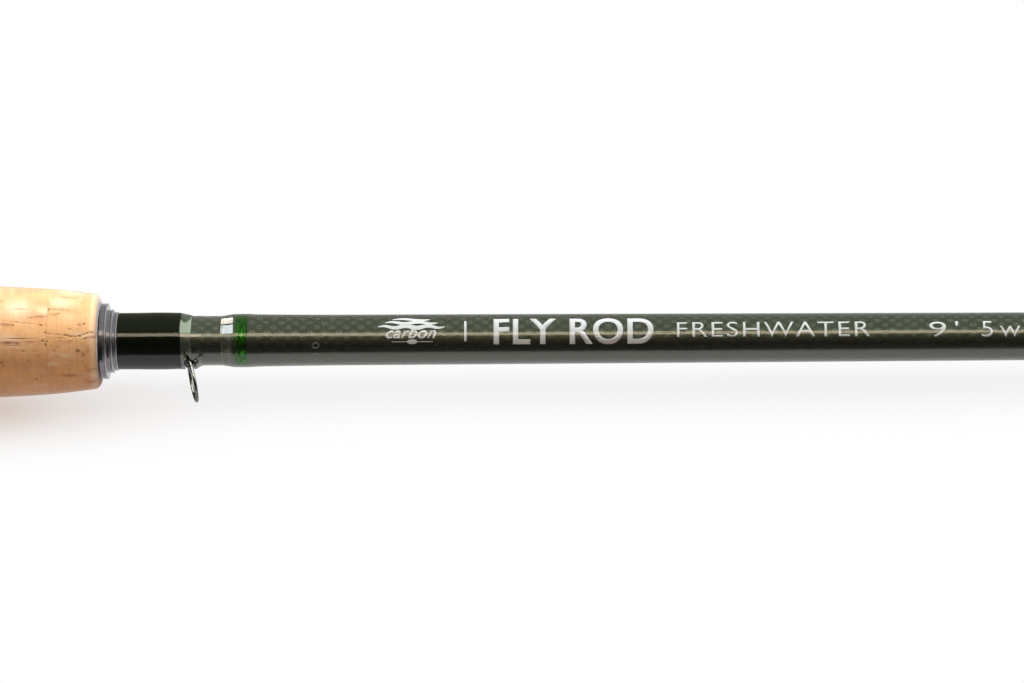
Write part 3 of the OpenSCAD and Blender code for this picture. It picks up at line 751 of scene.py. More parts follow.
def stamp(field, xs, around, x, s, half_x, half_s, angle, depth):
    """Adds a soft elongated mark to a field over x and distance round the grip."""
    length = around[-1] + around[1]
    reach = 2.2 * max(half_x, half_s)
    ds = (around - s + length / 2) % length - length / 2
    near = np.ix_(abs(xs - x) < reach, abs(ds) < reach)
    dx, dy = (xs - x)[near[0]], ds[near[1]]
    c, n = math.cos(angle), math.sin(angle)
    d = ((dx * c + dy * n) / half_x) ** 2 + ((-dx * n + dy * c) / half_s) ** 2
    field[near] = np.maximum(field[near], depth * np.exp(-d * 1.4))


def cork_ring(i, grip_line, rng):
    """One cork ring: pits, lenticels and cracks are cut into its skin."""
    node = f"cork_ring_{i:02d}"
    x0, x1 = span(node)
    front, fine = i == RING_COUNT, i >= RING_COUNT - 1
    cell, depth = (0.13, 0.20) if fine else (0.42, 0.16)
    length = TURN * at(grip_line, (x0 + x1) / 2)
    area = length * (x1 - x0)
    n = int(length / cell)
    xs = np.linspace(x0, x1, int((x1 - x0) / cell) + 1)
    fields = {kind: np.zeros((len(xs), n)) for kind in ("pit_and_shade", "stain", "tone_and_highlight")}

    def mark(kind, *shape):
        stamp(fields[kind], xs, angles(n) / TURN * length, *shape)

    def anywhere():
        return rng.uniform(x0, x1), rng.uniform(0, length)

    for _ in range(int(area * (0.35 if fine else 0.25))):  # pores
        size = rng.uniform(0.05, 0.13) + 0.14 * rng.random() ** 8
        mark("pit_and_shade", *anywhere(), size * rng.uniform(0.8, 1.6), size * rng.uniform(0.6, 1.0),
             rng.uniform(0, math.pi), rng.uniform(0.15, 0.55))
    for _ in range(int(area * 0.016)):  # lenticels: chains of pits along the axis
        x, s = anywhere()
        run = rng.uniform(1.0, 5.0)
        lean = rng.normal(0, 0.10)
        for u in np.arange(0, run, 0.22):
            mark("pit_and_shade", x + u, s + lean * u + rng.normal(0, 0.07), rng.uniform(0.09, 0.26),
                 rng.uniform(0.04, 0.11), lean, rng.uniform(0.2, 0.95))
        mark("stain", x + run / 2, s + lean * run / 2, run * 0.55, 0.5, lean,
             rng.uniform(0.15, 0.5))
    # red-brown patches of bark, then pale growth layers
    for kind, count, along, across, lean, strength in (
            ("stain", int(area * 0.006) + 1, (0.6, 2.4), (0.2, 0.5), 0.15, (0.3, 0.8)),
            ("tone_and_highlight", int(area * 0.02), (1.5, 4.0), (0.5, 1.6), 0.2, (0.15, 0.5))):
        for _ in range(count):
            mark(kind, *anywhere(), rng.uniform(*along), rng.uniform(*across),
                 rng.normal(0, lean), rng.uniform(*strength))
    for kind, rows in RING_MARKS.get(i, {}).items():
        for behind, side, *shape in rows:
            mark(kind, x1 - behind, (math.radians(side) % TURN) / TURN * length, *shape)

    pit_and_shade, tone_and_highlight = fields["pit_and_shade"], fields["tone_and_highlight"]
    tone_and_highlight += 0.12 if fine else rng.uniform(0.0, 0.25)
    edge = xs - x0 if front else np.minimum(xs - x0, x1 - xs)
    seam = np.clip(1 - edge / 0.16, 0, 1)[:, None]
    skin = at(grip_line, xs)
    if front:
        skin = np.minimum(skin, at(outer_line(node), xs))
    rows = skin[:, None] - depth * pit_and_shade - 0.012 * seam
    face = [7.45, 7.3] if front else []  # the glued face against the check
    inside = [*face, *(at(CORE, xs[[-1, 0]]) + 0.02)]
    obj = shell(f"cork_{i:02d}", [*xs, *[xs[-1]] * (len(face) + 1), xs[0]],
                np.concatenate([rows, np.repeat(np.array(inside)[:, None], n, 1)]),
                n, sharp=60)
    np.maximum(pit_and_shade, 0.10 * seam, out=pit_and_shade)
    gap_shade = np.zeros((len(inside), n))
    if front:  # painted light at the front: a painted highlight along the corner's thin edge, painted shade on the corner's last rows, and painted shade on the face in the gap against the check
        pit_and_shade[-2:] = np.maximum(pit_and_shade[-2:], [[0.3], [0.8]])
        tone_and_highlight += 0.42 * np.exp(-(((x1 - xs - 0.75) / 0.55) ** 2))[:, None]
        gap_shade[1:3] = 1.0
    for name, field in fields.items():
        values = np.concatenate([field, gap_shade if name == "pit_and_shade" else 0 * gap_shade])
        attribute = obj.data.attributes.new(name, "FLOAT", "POINT")
        attribute.data.foreach_set("value", values.clip(0, 1).astype(np.float32).ravel())
    place(obj, "cork", node)


def grip():
    rings = range(1, RING_COUNT + 1)
    line = np.concatenate([outer_line(f"cork_ring_{i:02d}") for i in rings])
    line = line[line[:, 0] < GRIP_END - 1.25]
    line = line[np.diff(line[:, 0], prepend=-1) > 0.5]
    line = np.vstack([line, [GRIP_END, line[-1, 1] + (line[-1, 1] - line[-2, 1]) * 0.6]])
    grip_line = curve_line(line, 0.5)
    for i in rings:
        cork_ring(i, grip_line, np.random.default_rng(400 + i))


# ---- front of the grip ---------------------------------------------------------------

FILM = 0.03  # how far the clear skin stands off what it covers
KEEPER_END = span("keeper_wrap")[1]
EYE_X, EYE_Z = span("keeper_coat")[1] - 0.5, -5.15
BLOB_LEAN, BLOB_R, BLOB_HALF = math.radians(18), 5.0, 1.75
RING_LEAN, RING_YAW = math.radians(14), math.radians(2)  # it hangs loose, turned a little
RING_R, RING_WIRE = 3.85, 0.29


def winding_check():
    """Turned steps, each flat with a groove and a small bead round its front edge."""
    line = outer_line("winding_check")
    x0, x1 = span("winding_check")
    outer, a = [], x0
    for (_, r), (flat_end, next_r) in zip(line, line[1:]):
        if abs(r - next_r) < 0.02:
            b = flat_end + 0.12
            if not outer:
                outer = [(a, r - 0.8), (a + 0.22, r - 0.8), (a + 0.22, r - 0.10)]
                a += 0.28
            outer += [(a, r - 0.03), (b - 0.50, r - 0.04), (b - 0.43, r - 0.13),
                      (b - 0.38, r - 0.13), (b - 0.31, r - 0.02), (b - 0.22, r),
                      (b - 0.14, r), (b - 0.05, r - 0.06), (b, r - 0.15)]
            a = b
    place(lathe("winding_check_metal", outer, [(x, at(CORE, x) + 0.02) for x in (x0, x1)],
                256, 0.07, 4), "check_metal", "winding_check")


def thread_wrap(name, line, x0, x1, pitch, rise, n, samples=6, lump=None, core=None,
                dip=0.4):
    """Rings of thread laid side by side in one helix; their tops are rise above a line."""
    core = line if core is None else core
    a = angles(n)
    xs = np.linspace(x0, x1, int((x1 - x0) / pitch * samples) + 1)
    phase = (xs[:, None] / pitch - a / TURN) % 1.0
    arc = np.sqrt(np.clip(1 - (2 * phase - 1) ** 2, 0, 1))
    rows = at(line, xs)[:, None] + rise - dip * pitch * (1 - arc)
    if lump:
        rows = rows + lump(xs, a)
    bottom = np.repeat(at(core, np.array([x0, x1, x1, x0]))[:, None] + 0.015, n, 1)
    return shell(name, [x0, *xs, x1, x1, x0],
                 np.concatenate([bottom[:1], rows, bottom[1:]]), n, sharp=0)


def keeper_line():
    """Outside of the epoxy over the keeper's wrap: full over the thread, then one slope."""
    end = KEEPER_END
    x0, x1 = span("keeper_coat")
    return curve_line([(x0, 5.262), (x0 + 0.35, 5.267), (x0 + 1.0, 5.272),
                       (x0 + 3.0, 5.275), (x0 + 7.5, 5.325), (end - 1.2, 5.275),
                       (end - 0.1, 5.215), (end + 0.12, 5.165), (end + 1.65, 4.83),
                       (x1, 4.765)], 0.06)


def graphics_line():
    """Outside of the epoxy over the accent band, thinning into the coat over the print."""
    x0, x1 = span("accent_wrap")
    c0, c1 = span("graphics_coat")
    level = x1 + 15.5

    def above(x, coat):
        return x, at(CORE, x) + coat

    start = at(CORE, c0)
    rise = curve_line([(c0, start + 0.04), (c0 + 0.5, start + 0.105),
                       (c0 + 1.0, start + 0.18), (c0 + 1.9, 4.945), (x0, 4.963),
                       (x0 + 0.5, 4.977), (x0 + 1.0, 4.985), (x1 + 0.2, 4.972),
                       (x1 + 1.35, 4.905), (x1 + 2.85, 4.86), (x1 + 5.85, 4.825),
                       (x1 + 9.55, 4.785), above(level, 0.165)], 0.08)
    return np.vstack([rise, [above(x, 0.165) for x in np.arange(level + 4, c1 - 5, 4)],
                      [above(c1 - 4, 0.16), (c1 - 1.0, at(CORE, c1) + 0.10),
                       above(c1, 0.03)]])


KEEPER_LINE, GRAPHICS_LINE = keeper_line(), graphics_line()


def eye_blob(xs, a):
    """The blobs of epoxy behind and in front of the keeper's eye; the ring lies between."""
    behind = np.interp(xs - EYE_X, [-1.9, -0.85, -0.6, -0.34, 0.0, 0.3, 0.36],
                       [0.0, 0.36, 0.0, -0.16, -0.16, -0.16, 0.0])
    front = np.interp(xs - EYE_X, [0.36, 0.50, 0.78, 1.1, 1.45, 1.85, 2.2, 2.5],
                      [0.0, 0.34, 0.66, 0.80, 0.70, 0.40, 0.12, 0.0])
    across = np.exp(-(((down_angle(a) - BLOB_LEAN) * BLOB_R / BLOB_HALF) ** 2))
    return (behind + front)[:, None] * across


def film(name, line, node, lump=None, n=160):
    """The clear skin of an epoxy coat."""
    if lump:  # finer rows where the blob is steep, and the blob's own way down to the blank
        end = line[-1, 0]
        fine = np.arange(end - 2.2, end, 0.05)
        past = np.arange(end + 0.05, end + 2.0, 0.08)
        line = np.vstack([line[line[:, 0] < fine[0]], np.stack([fine, at(line, fine)], 1),
                          line[-1:], np.stack([past, at(CORE, past) + 0.7 * FILM], 1)])
    x, r = line.T
    outer = r[:, None] + (lump(x, angles(n)) if lump else np.zeros(n))
    place(shell(name, [*x, *x[::-1]], np.concatenate([outer, outer[::-1] - 0.4 * FILM]), n,
                sharp=60), "epoxy", node)


def blank_skin(xs, a):
    """The butt blank's outside, swollen where a clear coat magnifies it."""
    rows = np.repeat(at(CORE, xs)[:, None], len(a), 1)
    band = span("accent_wrap")
    for line, low, high in ((KEEPER_LINE, KEEPER_END, KEEPER_LINE[-1, 0]),
                            (GRAPHICS_LINE, GRAPHICS_LINE[0, 0], band[0]),
                            (GRAPHICS_LINE, band[1], GRAPHICS_LINE[-1, 0])):
        inside = ((xs > low) & (xs < high))[:, None]
        rows = np.where(inside, np.maximum(rows, at(line, xs)[:, None] - FILM), rows)
    return rows + eye_blob(xs, a) * (xs > KEEPER_END)[:, None]


def keeper():
    place(thread_wrap("keeper_wrap_thread", KEEPER_LINE, *span("keeper_wrap"), 0.165,
                      -FILM, 128, core=CORE), "dark_thread", "keeper_wrap")
    film("keeper_coat_epoxy", KEEPER_LINE, "keeper_coat", eye_blob)
    foot = curve_line([(280.6, -4.80), (281.5, -4.93), (284, -4.93), (287.5, -4.92),
                       (288.8, -4.95), (EYE_X - 0.5, -5.0)], 0.2)
    knob = [(0.45, 0.2), (0.62, 0.24), (0.72, 0.42), (0.86, 0.62), (1.05, 0.76),
            (1.28, 0.80), (1.5, 0.74), (1.68, 0.58), (1.8, 0.34), (1.84, 0.08)]
    parts = [torus("eye", (EYE_X, 0, EYE_Z), 0.62, 0.20,
                   Matrix.Rotation(math.pi / 2, 3, "Z"), 48, 16),
             sweep("foot", foot[:, [0, 0, 1]] * [1, 0, 1], 0.2, 12),
             # the wire's far end is upset into a knob
             sweep("knob", [(EYE_X + x, 0, -4.85) for x, _ in knob], [r for _, r in knob],
                   32)]
    place(join("keeper_eye_metal", parts), "eye_metal", "keeper_eye", slot="keeper_metal")
    centre = (EYE_X + RING_R * math.sin(RING_LEAN), 0,
              EYE_Z - RING_R * math.cos(RING_LEAN))
    turn = Matrix.Rotation(-RING_LEAN, 3, "Y") @ Matrix.Rotation(RING_YAW, 3, "Z")
    place(torus("keeper_ring_wire", centre, RING_R, RING_WIRE, turn, 128), "keeper_metal",
          "keeper_ring", body="keeper")


def accent_band():
    place(thread_wrap("accent_wrap_thread", GRAPHICS_LINE, *span("accent_wrap"), 0.17,
                      -FILM, 192, 8, core=CORE, dip=0.1), "green_thread", "accent_wrap")
    film("graphics_coat_epoxy", GRAPHICS_LINE, "graphics_coat")


def butt_blank():
    x0, x1 = CORE[[0, -1], 0]
    band = span("accent_wrap")
    coat = GRAPHICS_LINE[0, 0]
    edges = [x + d for x in (KEEPER_END, KEEPER_LINE[-1, 0], coat, *band)
             for d in (-0.02, 0.02)]
    near = np.concatenate([GRAPHICS_LINE[::2, 0], edges,
                           np.arange(KEEPER_END + 0.08, EYE_X + 2.6, 0.08),
                           np.arange(EYE_X + 2.7, coat, 0.3)])
    near = near[~((near > band[0] + 0.03) & (near < band[1] - 0.03))]
    xs = np.unique(np.round([x0, x0 + 0.2, *np.arange(20, GRIP_END, 25), *near,
                             *np.arange(500, x1 - 1, 15), x1 - 0.2, x1], 3))
    n = 160
    rows = blank_skin(xs, angles(n))
    rows[[0, -1]] -= 0.12
    inner = np.repeat([[CORE[-1, 1] - 0.8], [CORE[0, 1] - 1.2]], n, 1)
    place(shell("blank_butt_carbon", [*xs, x1, x0], np.concatenate([rows, inner]), n,
                sharp=40), "carbon", "blank_butt")


def upper_blanks():
    below = CORE
    for section, wall, end_wall in (("second", 0.75, 0.75), ("third", 0.65, 0.65),
                                    ("tip", 0.6, 0.5)):
        line = LINE[section]
        x0, x1 = line[[0, -1], 0]
        end = below[-1, 0]  # where the socket ends
        xs = np.unique([*line[:, 0], *np.arange(x0 + 8, x1 - 8, 12)])
        inner = [(x0, at(below, x0) + 0.05), (end, at(below, end) + 0.05),
                 (end + 4, at(below, end) + 0.05),
                 (end + 10, at(line, end + 10) - wall - 0.4), (x1, at(line, x1) - end_wall)]
        node = f"blank_{section}"
        place(lathe(f"{node}_carbon", np.stack([xs, at(line, xs)], -1), inner, 96, 0.12),
              "carbon", node, body=f"{section}_section")
        below = line


# ---- printed graphics ----------------------------------------------------------------

PRINT_SIDE = math.radians(180 + 15)  # round from +Y: 15 degrees below -Y
PRINT_R = 4.7


def wrap_print(name, mesh, ahead, width, height, side, upright=True, ink="print"):
    """Lays a flat mesh on the blank as thin paint: width along X, height round it."""
    bm = bmesh.new()
    bm.from_mesh(mesh)
    bpy.data.meshes.remove(mesh)
    co = np.array([v.co for v in bm.verts])
    low, size = co.min(0), np.ptp(co, 0)
    for v in bm.verts:
        u = (v.co.x - low[0]) / size[0]
        w = (v.co.y - low[1]) / size[1]
        v.co = ((u * width, (w - 0.5) * height, 0) if upright
                else (w * height, (0.5 - u) * width, 0))
    tall = height if upright else width
    for cut in np.arange(-tall / 2 + 0.2, tall / 2, 0.2):
        bmesh.ops.bisect_plane(bm, geom=bm.verts[:] + bm.edges[:] + bm.faces[:],
                               plane_co=(0, cut, 0), plane_no=(0, 1, 0), dist=1e-5)
    bmesh.ops.triangulate(bm, faces=bm.faces[:])
    raised = bmesh.ops.extrude_face_region(bm, geom=bm.faces[:])
    top = {g for g in raised["geom"] if isinstance(g, bmesh.types.BMVert)}
    for v in bm.verts:
        x = GRIP_END + ahead + v.co.x
        skin = at(GRAPHICS_LINE, x) - FILM
        r = skin + (0.014 if v in top else 0.002)
        turn = PRINT_SIDE + side - v.co.y / skin
        v.co = (x * MM, r * math.cos(turn) * MM, r * math.sin(turn) * MM)
    bmesh.ops.recalc_face_normals(bm, faces=bm.faces[:])
    place(from_bmesh(name, bm), ink, slot=False)


def lettering(body, bold=0.0, spacing=1.0, shear=0.0):
    """Flat mesh of generic words in Blender's own font."""
    curve = bpy.data.curves.new("lettering", "FONT")
    curve.body, curve.offset, curve.space_character = body, bold, spacing
    curve.shear, curve.resolution_u = shear, 6
    obj = linked("lettering", curve)
    bpy.context.view_layer.update()
    shaped = obj.evaluated_get(bpy.context.evaluated_depsgraph_get())
    mesh = bpy.data.meshes.new_from_object(shaped)
    bpy.data.objects.remove(obj)
    bpy.data.curves.remove(curve)
    return mesh


def flat_shapes(*outlines):
    """Flat mesh of filled outlines."""
    mesh = bpy.data.meshes.new("shapes")
    verts, faces = [], []
    for outline in outlines:
        faces.append(list(range(len(verts), len(verts) + len(outline))))
        verts += [(x, y, 0) for x, y in outline]
    mesh.from_pydata(verts, [], faces)
    return mesh


def ripple(x0, x1, y, thick, waves, rise):
    """A tapering wavy stripe."""
    t = np.linspace(0, 1, 60)
    xs = x0 + (x1 - x0) * t
    mid = y + rise * np.sin(t * waves * TURN)
    half = thick / 2 * np.sin(math.pi * np.clip(t, 0.01, 0.99)) ** 0.5
    return list(zip(xs, mid + half)) + list(zip(xs[::-1], (mid - half)[::-1]))


def box(x1, y0, y1):
    return [(0, y0), (x1, y0), (x1, y1), (0, y1)]


def graphics():
    ripples = flat_shapes(ripple(1.2, 9.0, 1.62, 0.85, 2.0, 0.22),
                          ripple(0.2, 10.0, 0.60, 0.95, 3.0, 0.22),
                          ripple(2.3, 7.9, 2.55, 0.7, 1.0, 0.2))
    disc = [(4.0 + math.cos(u), 0.5 * math.sin(u)) for u in angles(40)]
    rule = flat_shapes(disc, box(8, -0.06, 0.06))
    # piece, shape, distance ahead of the grip, width, height, turn round the blank
    for name, mesh, *layout in (
            ("ripples", ripples, 51.9, 12.3, 2.9, -1.75 / PRINT_R),
            ("material_word", lettering("carbon", 0.016, 1.0, 0.35), 53.3, 9.4, 2.25,
             0.25 / PRINT_R),
            ("rule", rule, 54.4, 7.6, 0.9, 1.95 / PRINT_R),
            ("bar", flat_shapes(box(0.45, 0, 3.4)), 67.85, 0.42, 4.1, -0.03),
            ("title", lettering("FLY ROD", 0.020, 1.05), 73.3, 29.65, 5.45, -0.03),
            ("subtitle", lettering("FRESHWATER", -0.006, 1.12), 107.3, 35.75, 3.05, -0.04),
            ("length", lettering("9'", -0.006, 1.25), 154.1, 5.4, 3.15, -0.01),
            ("weight", lettering("5wt", -0.006, 1.3), 163.8, 9.9, 3.15, -0.01),
            ("digits", lettering("00||", -0.012, 1.5), 39.15, 6.05, 1.8,
             math.radians(60.5), False, "fine_print")):
        wrap_print(f"print_{name}", mesh, *layout)


# ---- upper sections ------------------------------------------------------------------

WRAP_RISE, WRAP_COAT = 0.27, 0.04
STRIPPER_TUBE = 0.75
SNAKE_WIRE, SNAKE_LOOP, SNAKE_FOOT = 0.9, 8.4, 8.0


def wraps(prefix, section, node, spans, n=40):
    """All the wraps of one CAD node, as a thread piece and the clear coat over its ends."""
    core, a = LINE[section], angles(n)
    threads, coats = [], []
    for x0, x1, lump in spans:
        threads.append(thread_wrap("thread", core, x0 + 0.6, x1 - 0.6, 0.18, WRAP_RISE, n,
                                   5, lump))
        x = np.linspace(x0, x1, 40)
        full = np.clip(np.minimum(x - x0, x1 - x) / 1.1, 0, 1)
        full = np.sin(full * math.pi / 2) ** 0.8
        outer = (at(core, x) + 0.02 + (WRAP_RISE + WRAP_COAT) * full)[:, None]
        outer = outer + (lump(x, a) if lump else np.zeros(n))
        inner = np.repeat(at(core, x[[-1, 0]])[:, None] + 0.012, n, 1)
        coats.append(shell("coat", [*x, x1, x0], np.concatenate([outer, inner]), n,
                           sharp=60))
    body = f"{section}_section"
    place(join(f"{prefix}_thread", threads), "dark_thread", node, body=body)
    place(join(f"{prefix}_epoxy", coats), "epoxy", body=body)


def foot_wraps(x, r, inward, tip, outward, height, half_width):
    """The two wraps of a guide at x: their ends, and the swell over each foot.

    The swell fades towards the foot's tip.  inward, tip and outward are distances from x.
    """
    def lump(side):
        def swell(xs, a):
            t = np.clip((side * (xs - x) - tip) / (inward - tip), 0, 1)
            along = height * np.clip(t * 3.2, 0, 1) ** 1.5
            return along[:, None] * np.exp(-((down_angle(a) * r / half_width) ** 2))
        return swell
    return [(*sorted((x + s * inward, x + s * outward)), lump(s)) for s in (-1, 1)]


def ferrules():
    for section in ("second", "third", "tip"):
        node = f"ferrule_wrap_{section}"
        x0, x1 = span(node)
        wraps(f"ferrule_{section}", section, node, [(x0, x1, None)], 72)
        alignment_dot(f"ferrule_dot_{section}", section, x1 + 2.5)


def alignment_dot(name, section, x):
    """The painted dot that lines two sections up."""
    r, n, verts = at(LINE[section], x), 24, []
    for ring in (0.02, 0.35, 0.6, 0.72):
        lift = r + 0.05 * math.sqrt(1 - (ring / 0.75) ** 2 * (ring > 0.02)) + 0.002
        for t in angles(n):
            turn = ring * math.sin(t) / r - math.pi / 2
            verts.append((x + ring * math.cos(t), lift * math.cos(turn),
                          lift * math.sin(turn)))
    obj = add_mesh(name, verts, grid_faces(4, n, False), caps(4, n))
    place(obj, "print", body=f"{section}_section", slot=False)


def guide_foot(x, side, r, length, width, thick):
    """A guide's flat foot, ground thin towards its tip."""
    rows, n = 14, 16
    a = angles(n)
    squared = [np.sign(v) * abs(v) ** 0.6 for v in (np.cos(a), np.sin(a))]
    verts = []
    for t in np.linspace(0, 1, rows):
        w = width / 2 * (1 - 0.55 * t)
        h = thick / 2 * (1 - 0.75 * max(0, t - 0.35) / 0.65)
        verts.append(np.stack([0 * a + x + side * length * (t - 0.5), w * squared[0],
                               h * squared[1] - r - 0.03 - h], -1))
    quads, ends = grid_faces(rows, n, False), caps(rows, n)
    if side < 0:
        quads, ends = quads[:, ::-1], [e[::-1] for e in ends]
    return add_mesh("foot", np.concatenate(verts), quads, ends)


def stripping_guide(i):
    low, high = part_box(f"stripper_ring_{i}")
    x, z = (low.x + high.x) / 2 / MM, (low.z + high.z) / 2 / MM
    outer_r = (high.z - low.z) / 2 / MM
    ring_r = outer_r - STRIPPER_TUBE
    place(torus(f"stripper_ceramic_{i}", (x, 0, z), ring_r, STRIPPER_TUBE, around=128,
                sides=28), "guide_ceramic", f"stripper_ring_{i}", body="second_section")
    band_r = outer_r + 0.62
    sides = ([(x - 0.85, r), (x + 0.85, r)] for r in (band_r, outer_r + 0.02))
    band = lathe("band", *sides, 128, 0.22, 4)
    band.data.transform(Matrix.Translation((0, 0, z * MM)))
    r = at(LINE["second"], x)
    reach = ring_r + 9
    leg, foot_z = reach - 4.0, -r - 0.35
    parts = [band]
    for s in (-1, 1):
        start = np.array([x, s * (band_r - 0.25), z + 0.6])
        end = np.array([x - leg, s * 0.45, foot_z])
        bend = (start + end) / 2 + [1.2, s * 0.9, -0.9]
        parts.append(sweep("leg", bezier(start, bend, end, 24), 0.5, 16))
    start, end = np.array([x, 0, z + band_r - 0.1]), np.array([x + leg, 0, foot_z])
    bend = (start + end) / 2 + [-1.0, 0, -0.5]
    parts.append(sweep("front_leg", bezier(start, bend, end, 24), 0.6, 16))
    parts += [guide_foot(x + s * reach, s, r, 9.0, 1.8, 0.6) for s in (-1, 1)]
    place(join(f"stripper_frame_{i}_metal", parts), "guide_frame", f"stripper_frame_{i}",
          body="second_section")
    wraps(f"stripper_{i}", "second", f"stripper_wraps_{i}",
          foot_wraps(x, r, reach - 3.3, reach + 4.8, reach + 7.5, 0.62, 1.25), 72)


def snake_guides():
    spans = {"third": [], "tip": []}
    for i in range(1, 8):
        section = "third" if i <= 3 else "tip"
        low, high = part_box(f"snake_guide_{i}")
        x, base = (low.x + high.x) / 2 / MM, high.z / MM - SNAKE_WIRE / 2
        half = ((high.z - low.z) / MM - SNAKE_WIRE) / 2
        t = np.linspace(0, 1, 90)
        turn = TURN * t - 0.55 * np.sin(TURN * t)
        loop = np.stack([x + SNAKE_LOOP * (t - 0.5), half * np.sin(turn),
                         base - half * (1 - np.cos(turn))], -1)
        feet = np.linspace(0, SNAKE_FOOT, 16)[1:, None] * [1, 0, 0]
        end = np.array([SNAKE_LOOP / 2, 0, 0])
        middle = np.array([x, 0, base])
        path = np.concatenate([middle - end - feet[::-1], loop, middle + end + feet])
        dist = np.minimum(np.arange(len(path)), np.arange(len(path))[::-1])
        radius = SNAKE_WIRE / 2 * np.clip(0.45 + dist / 12, 0, 1)
        path[:, 2] += SNAKE_WIRE / 2 - radius
        place(sweep(f"snake_wire_{i}", path, radius), "guide_wire", f"snake_guide_{i}",
              body=f"{section}_section")
        foot = SNAKE_LOOP / 2 + SNAKE_FOOT
        spans[section] += foot_wraps(x, at(LINE[section], x), SNAKE_LOOP / 2 + 1.2,
                                     foot + 0.4, foot + 2, 0.78, 0.95)
    for section, rows in spans.items():
        wraps(f"snakes_{section}", section, f"snake_wraps_{section}", rows)


def tip_top():
    x0, core = span("tip_top")[0], LINE["tip"]
    tube_end, tube_r = ROD_END - 2, 1.35
    loop_x, loop_z, loop_r = ROD_END - 0.5, -3.85, 2.6
    parts = [lathe("tube", [(x0, tube_r), (tube_end, tube_r)],
                   [(x0, at(core, x0) + 0.03),
                    (tube_end - 0.7, at(core, tube_end - 1) + 0.03)], 64, 0.25),
             torus("loop", (loop_x, 0, loop_z), loop_r, 0.5, sides=20)]
    for s in (-1, 1):
        path = bezier((x0 + 1.5, s * 0.95, -0.75), (x0 + 8.0, s * 1.9, -1.6),
                      (loop_x, s * loop_r, loop_z + 0.2), 30)
        parts.append(sweep("brace", path, 0.4, 14))
    path = bezier((tube_end - 2.5, 0, -0.85), (tube_end + 0.2, 0, -0.9),
                  (loop_x, 0, loop_z + loop_r), 12)
    parts.append(sweep("strut", path, 0.45, 14))
    place(join("tip_top_metal", parts), "guide_wire", "tip_top", body="tip_section")
    wraps("tip_top", "tip", "tip_top_wrap", [(*span("tip_top_wrap"), None)])


reel_seat()
hoods()
grip()
winding_check()
butt_blank()
upper_blanks()
keeper()
accent_band()
graphics()
ferrules()
stripping_guide(1)
stripping_guide(2)
snake_guides()
tip_top()

# ---- studio --------------------------------------------------------------------------

SOFT_LOW, SOFT_HIGH = (0.50, 0.41, 0.40), (0.47, 0.45, 0.45)
KEY_ANGLE, KEY_SIZE = math.radians(79), math.radians(35)
KEY_STRENGTH, KEY_COLOUR = 5.6, (1.0, 1.09, 1.26)
FLOOR_SIZE, FLOOR_DROP = 200000.0, -800.0

# What reflections show, by angle above the camera's direction in the plane across the rod.
# MIRROR is for the sharp reflections of clear coats, ROUGH for metal, fibres and thread.
GLOSS_SCALE = 8.0
MIRROR = [(-180, (0.30, 0.30, 0.30)), (-120, (0.70, 0.70, 0.72)), (-90, (0.83, 0.84, 0.86)),
          (-67, (0.90, 0.90, 0.92)), (-62, (0.75, 0.76, 0.78)), (-55, (0.10, 0.10, 0.09)),
          (-20, (0.05, 0.05, 0.045)), (8, (0.07, 0.065, 0.05)), (17.0, (0.16, 0.14, 0.10)),
          (19.5, (4.8, 4.0, 3.1)), (30, (4.8, 4.0, 3.1)), (33.5, (0.24, 0.27, 0.20)),
          (60, (0.27, 0.33, 0.22)), (90, (0.27, 0.32, 0.22)), (120, (0.24, 0.27, 0.19)),
          (150, (0.20, 0.21, 0.17)), (180, (0.30, 0.30, 0.30))]
ROUGH = [(-180, (0.8, 0.8, 0.8)), (-120, (1.1, 1.1, 1.12)), (-72, (1.3, 1.32, 1.3)),
         (-64, (0.8, 0.8, 0.8)), (-57, (0.10, 0.10, 0.10)), (-28, (0.06, 0.055, 0.045)),
         (-16, (0.13, 0.11, 0.08)), (-7, (0.23, 0.19, 0.14)), (2, (0.40, 0.34, 0.25)),
         (10, (0.58, 0.49, 0.37)), (17.0, (0.75, 0.64, 0.48)), (20, (3.0, 2.6, 2.0)),
         (30, (3.0, 2.6, 2.0)), (35, (1.0, 1.02, 0.96)), (90, (1.1, 1.14, 1.06)),
         (140, (0.9, 0.92, 0.88)), (180, (0.9, 0.9, 0.9))]

# The soft shadow painted into the background behind and under the rod: places are in mm
# from the grip's front and from the axis, as the camera sees them at the rod's distance
SHADE_DROP, SHADE_ABOVE, SHADE_BELOW, SHADED = 8.3, 3.2, 5.6, (0.892, 0.892, 0.892)
WARM_DROP, WARM_SOFT, WARM_START, WARM_REACH = 11.9, 5.6, 18.8, 20.0
WARMED = (0.73, 0.625, 0.57)


def camera():
    data = bpy.data.cameras.new("camera")
    data.lens, data.sensor_width = LENS, SENSOR
    data.clip_start, data.clip_end = 0.01, 500
    cam = linked("camera", data)
    aim = Vector((GRIP_END * MM + AIM_AHEAD, 0, 0)) - UP * AIM_DROP
    along = Vector((1, 0, 0))
    across = along * math.cos(ROLL) - UP * math.sin(ROLL)
    upward = along * math.sin(ROLL) + UP * math.cos(ROLL)
    turn = Matrix((across, upward, TO_CAMERA)).transposed().to_4x4()
    cam.matrix_world = Matrix.Translation(aim + TO_CAMERA * DISTANCE) @ turn
    bpy.context.scene.camera = cam


def reflections(t, theta, table):
    stops = [((angle + 180) / 360, tuple(c / GLOSS_SCALE for c in colour))
             for angle, colour in table]
    share = t.op("DIVIDE", t.plus(theta, 180.0), 360.0)
    return t.mix(1.0, t.ramp(share, stops), (GLOSS_SCALE,) * 3, "MULTIPLY")


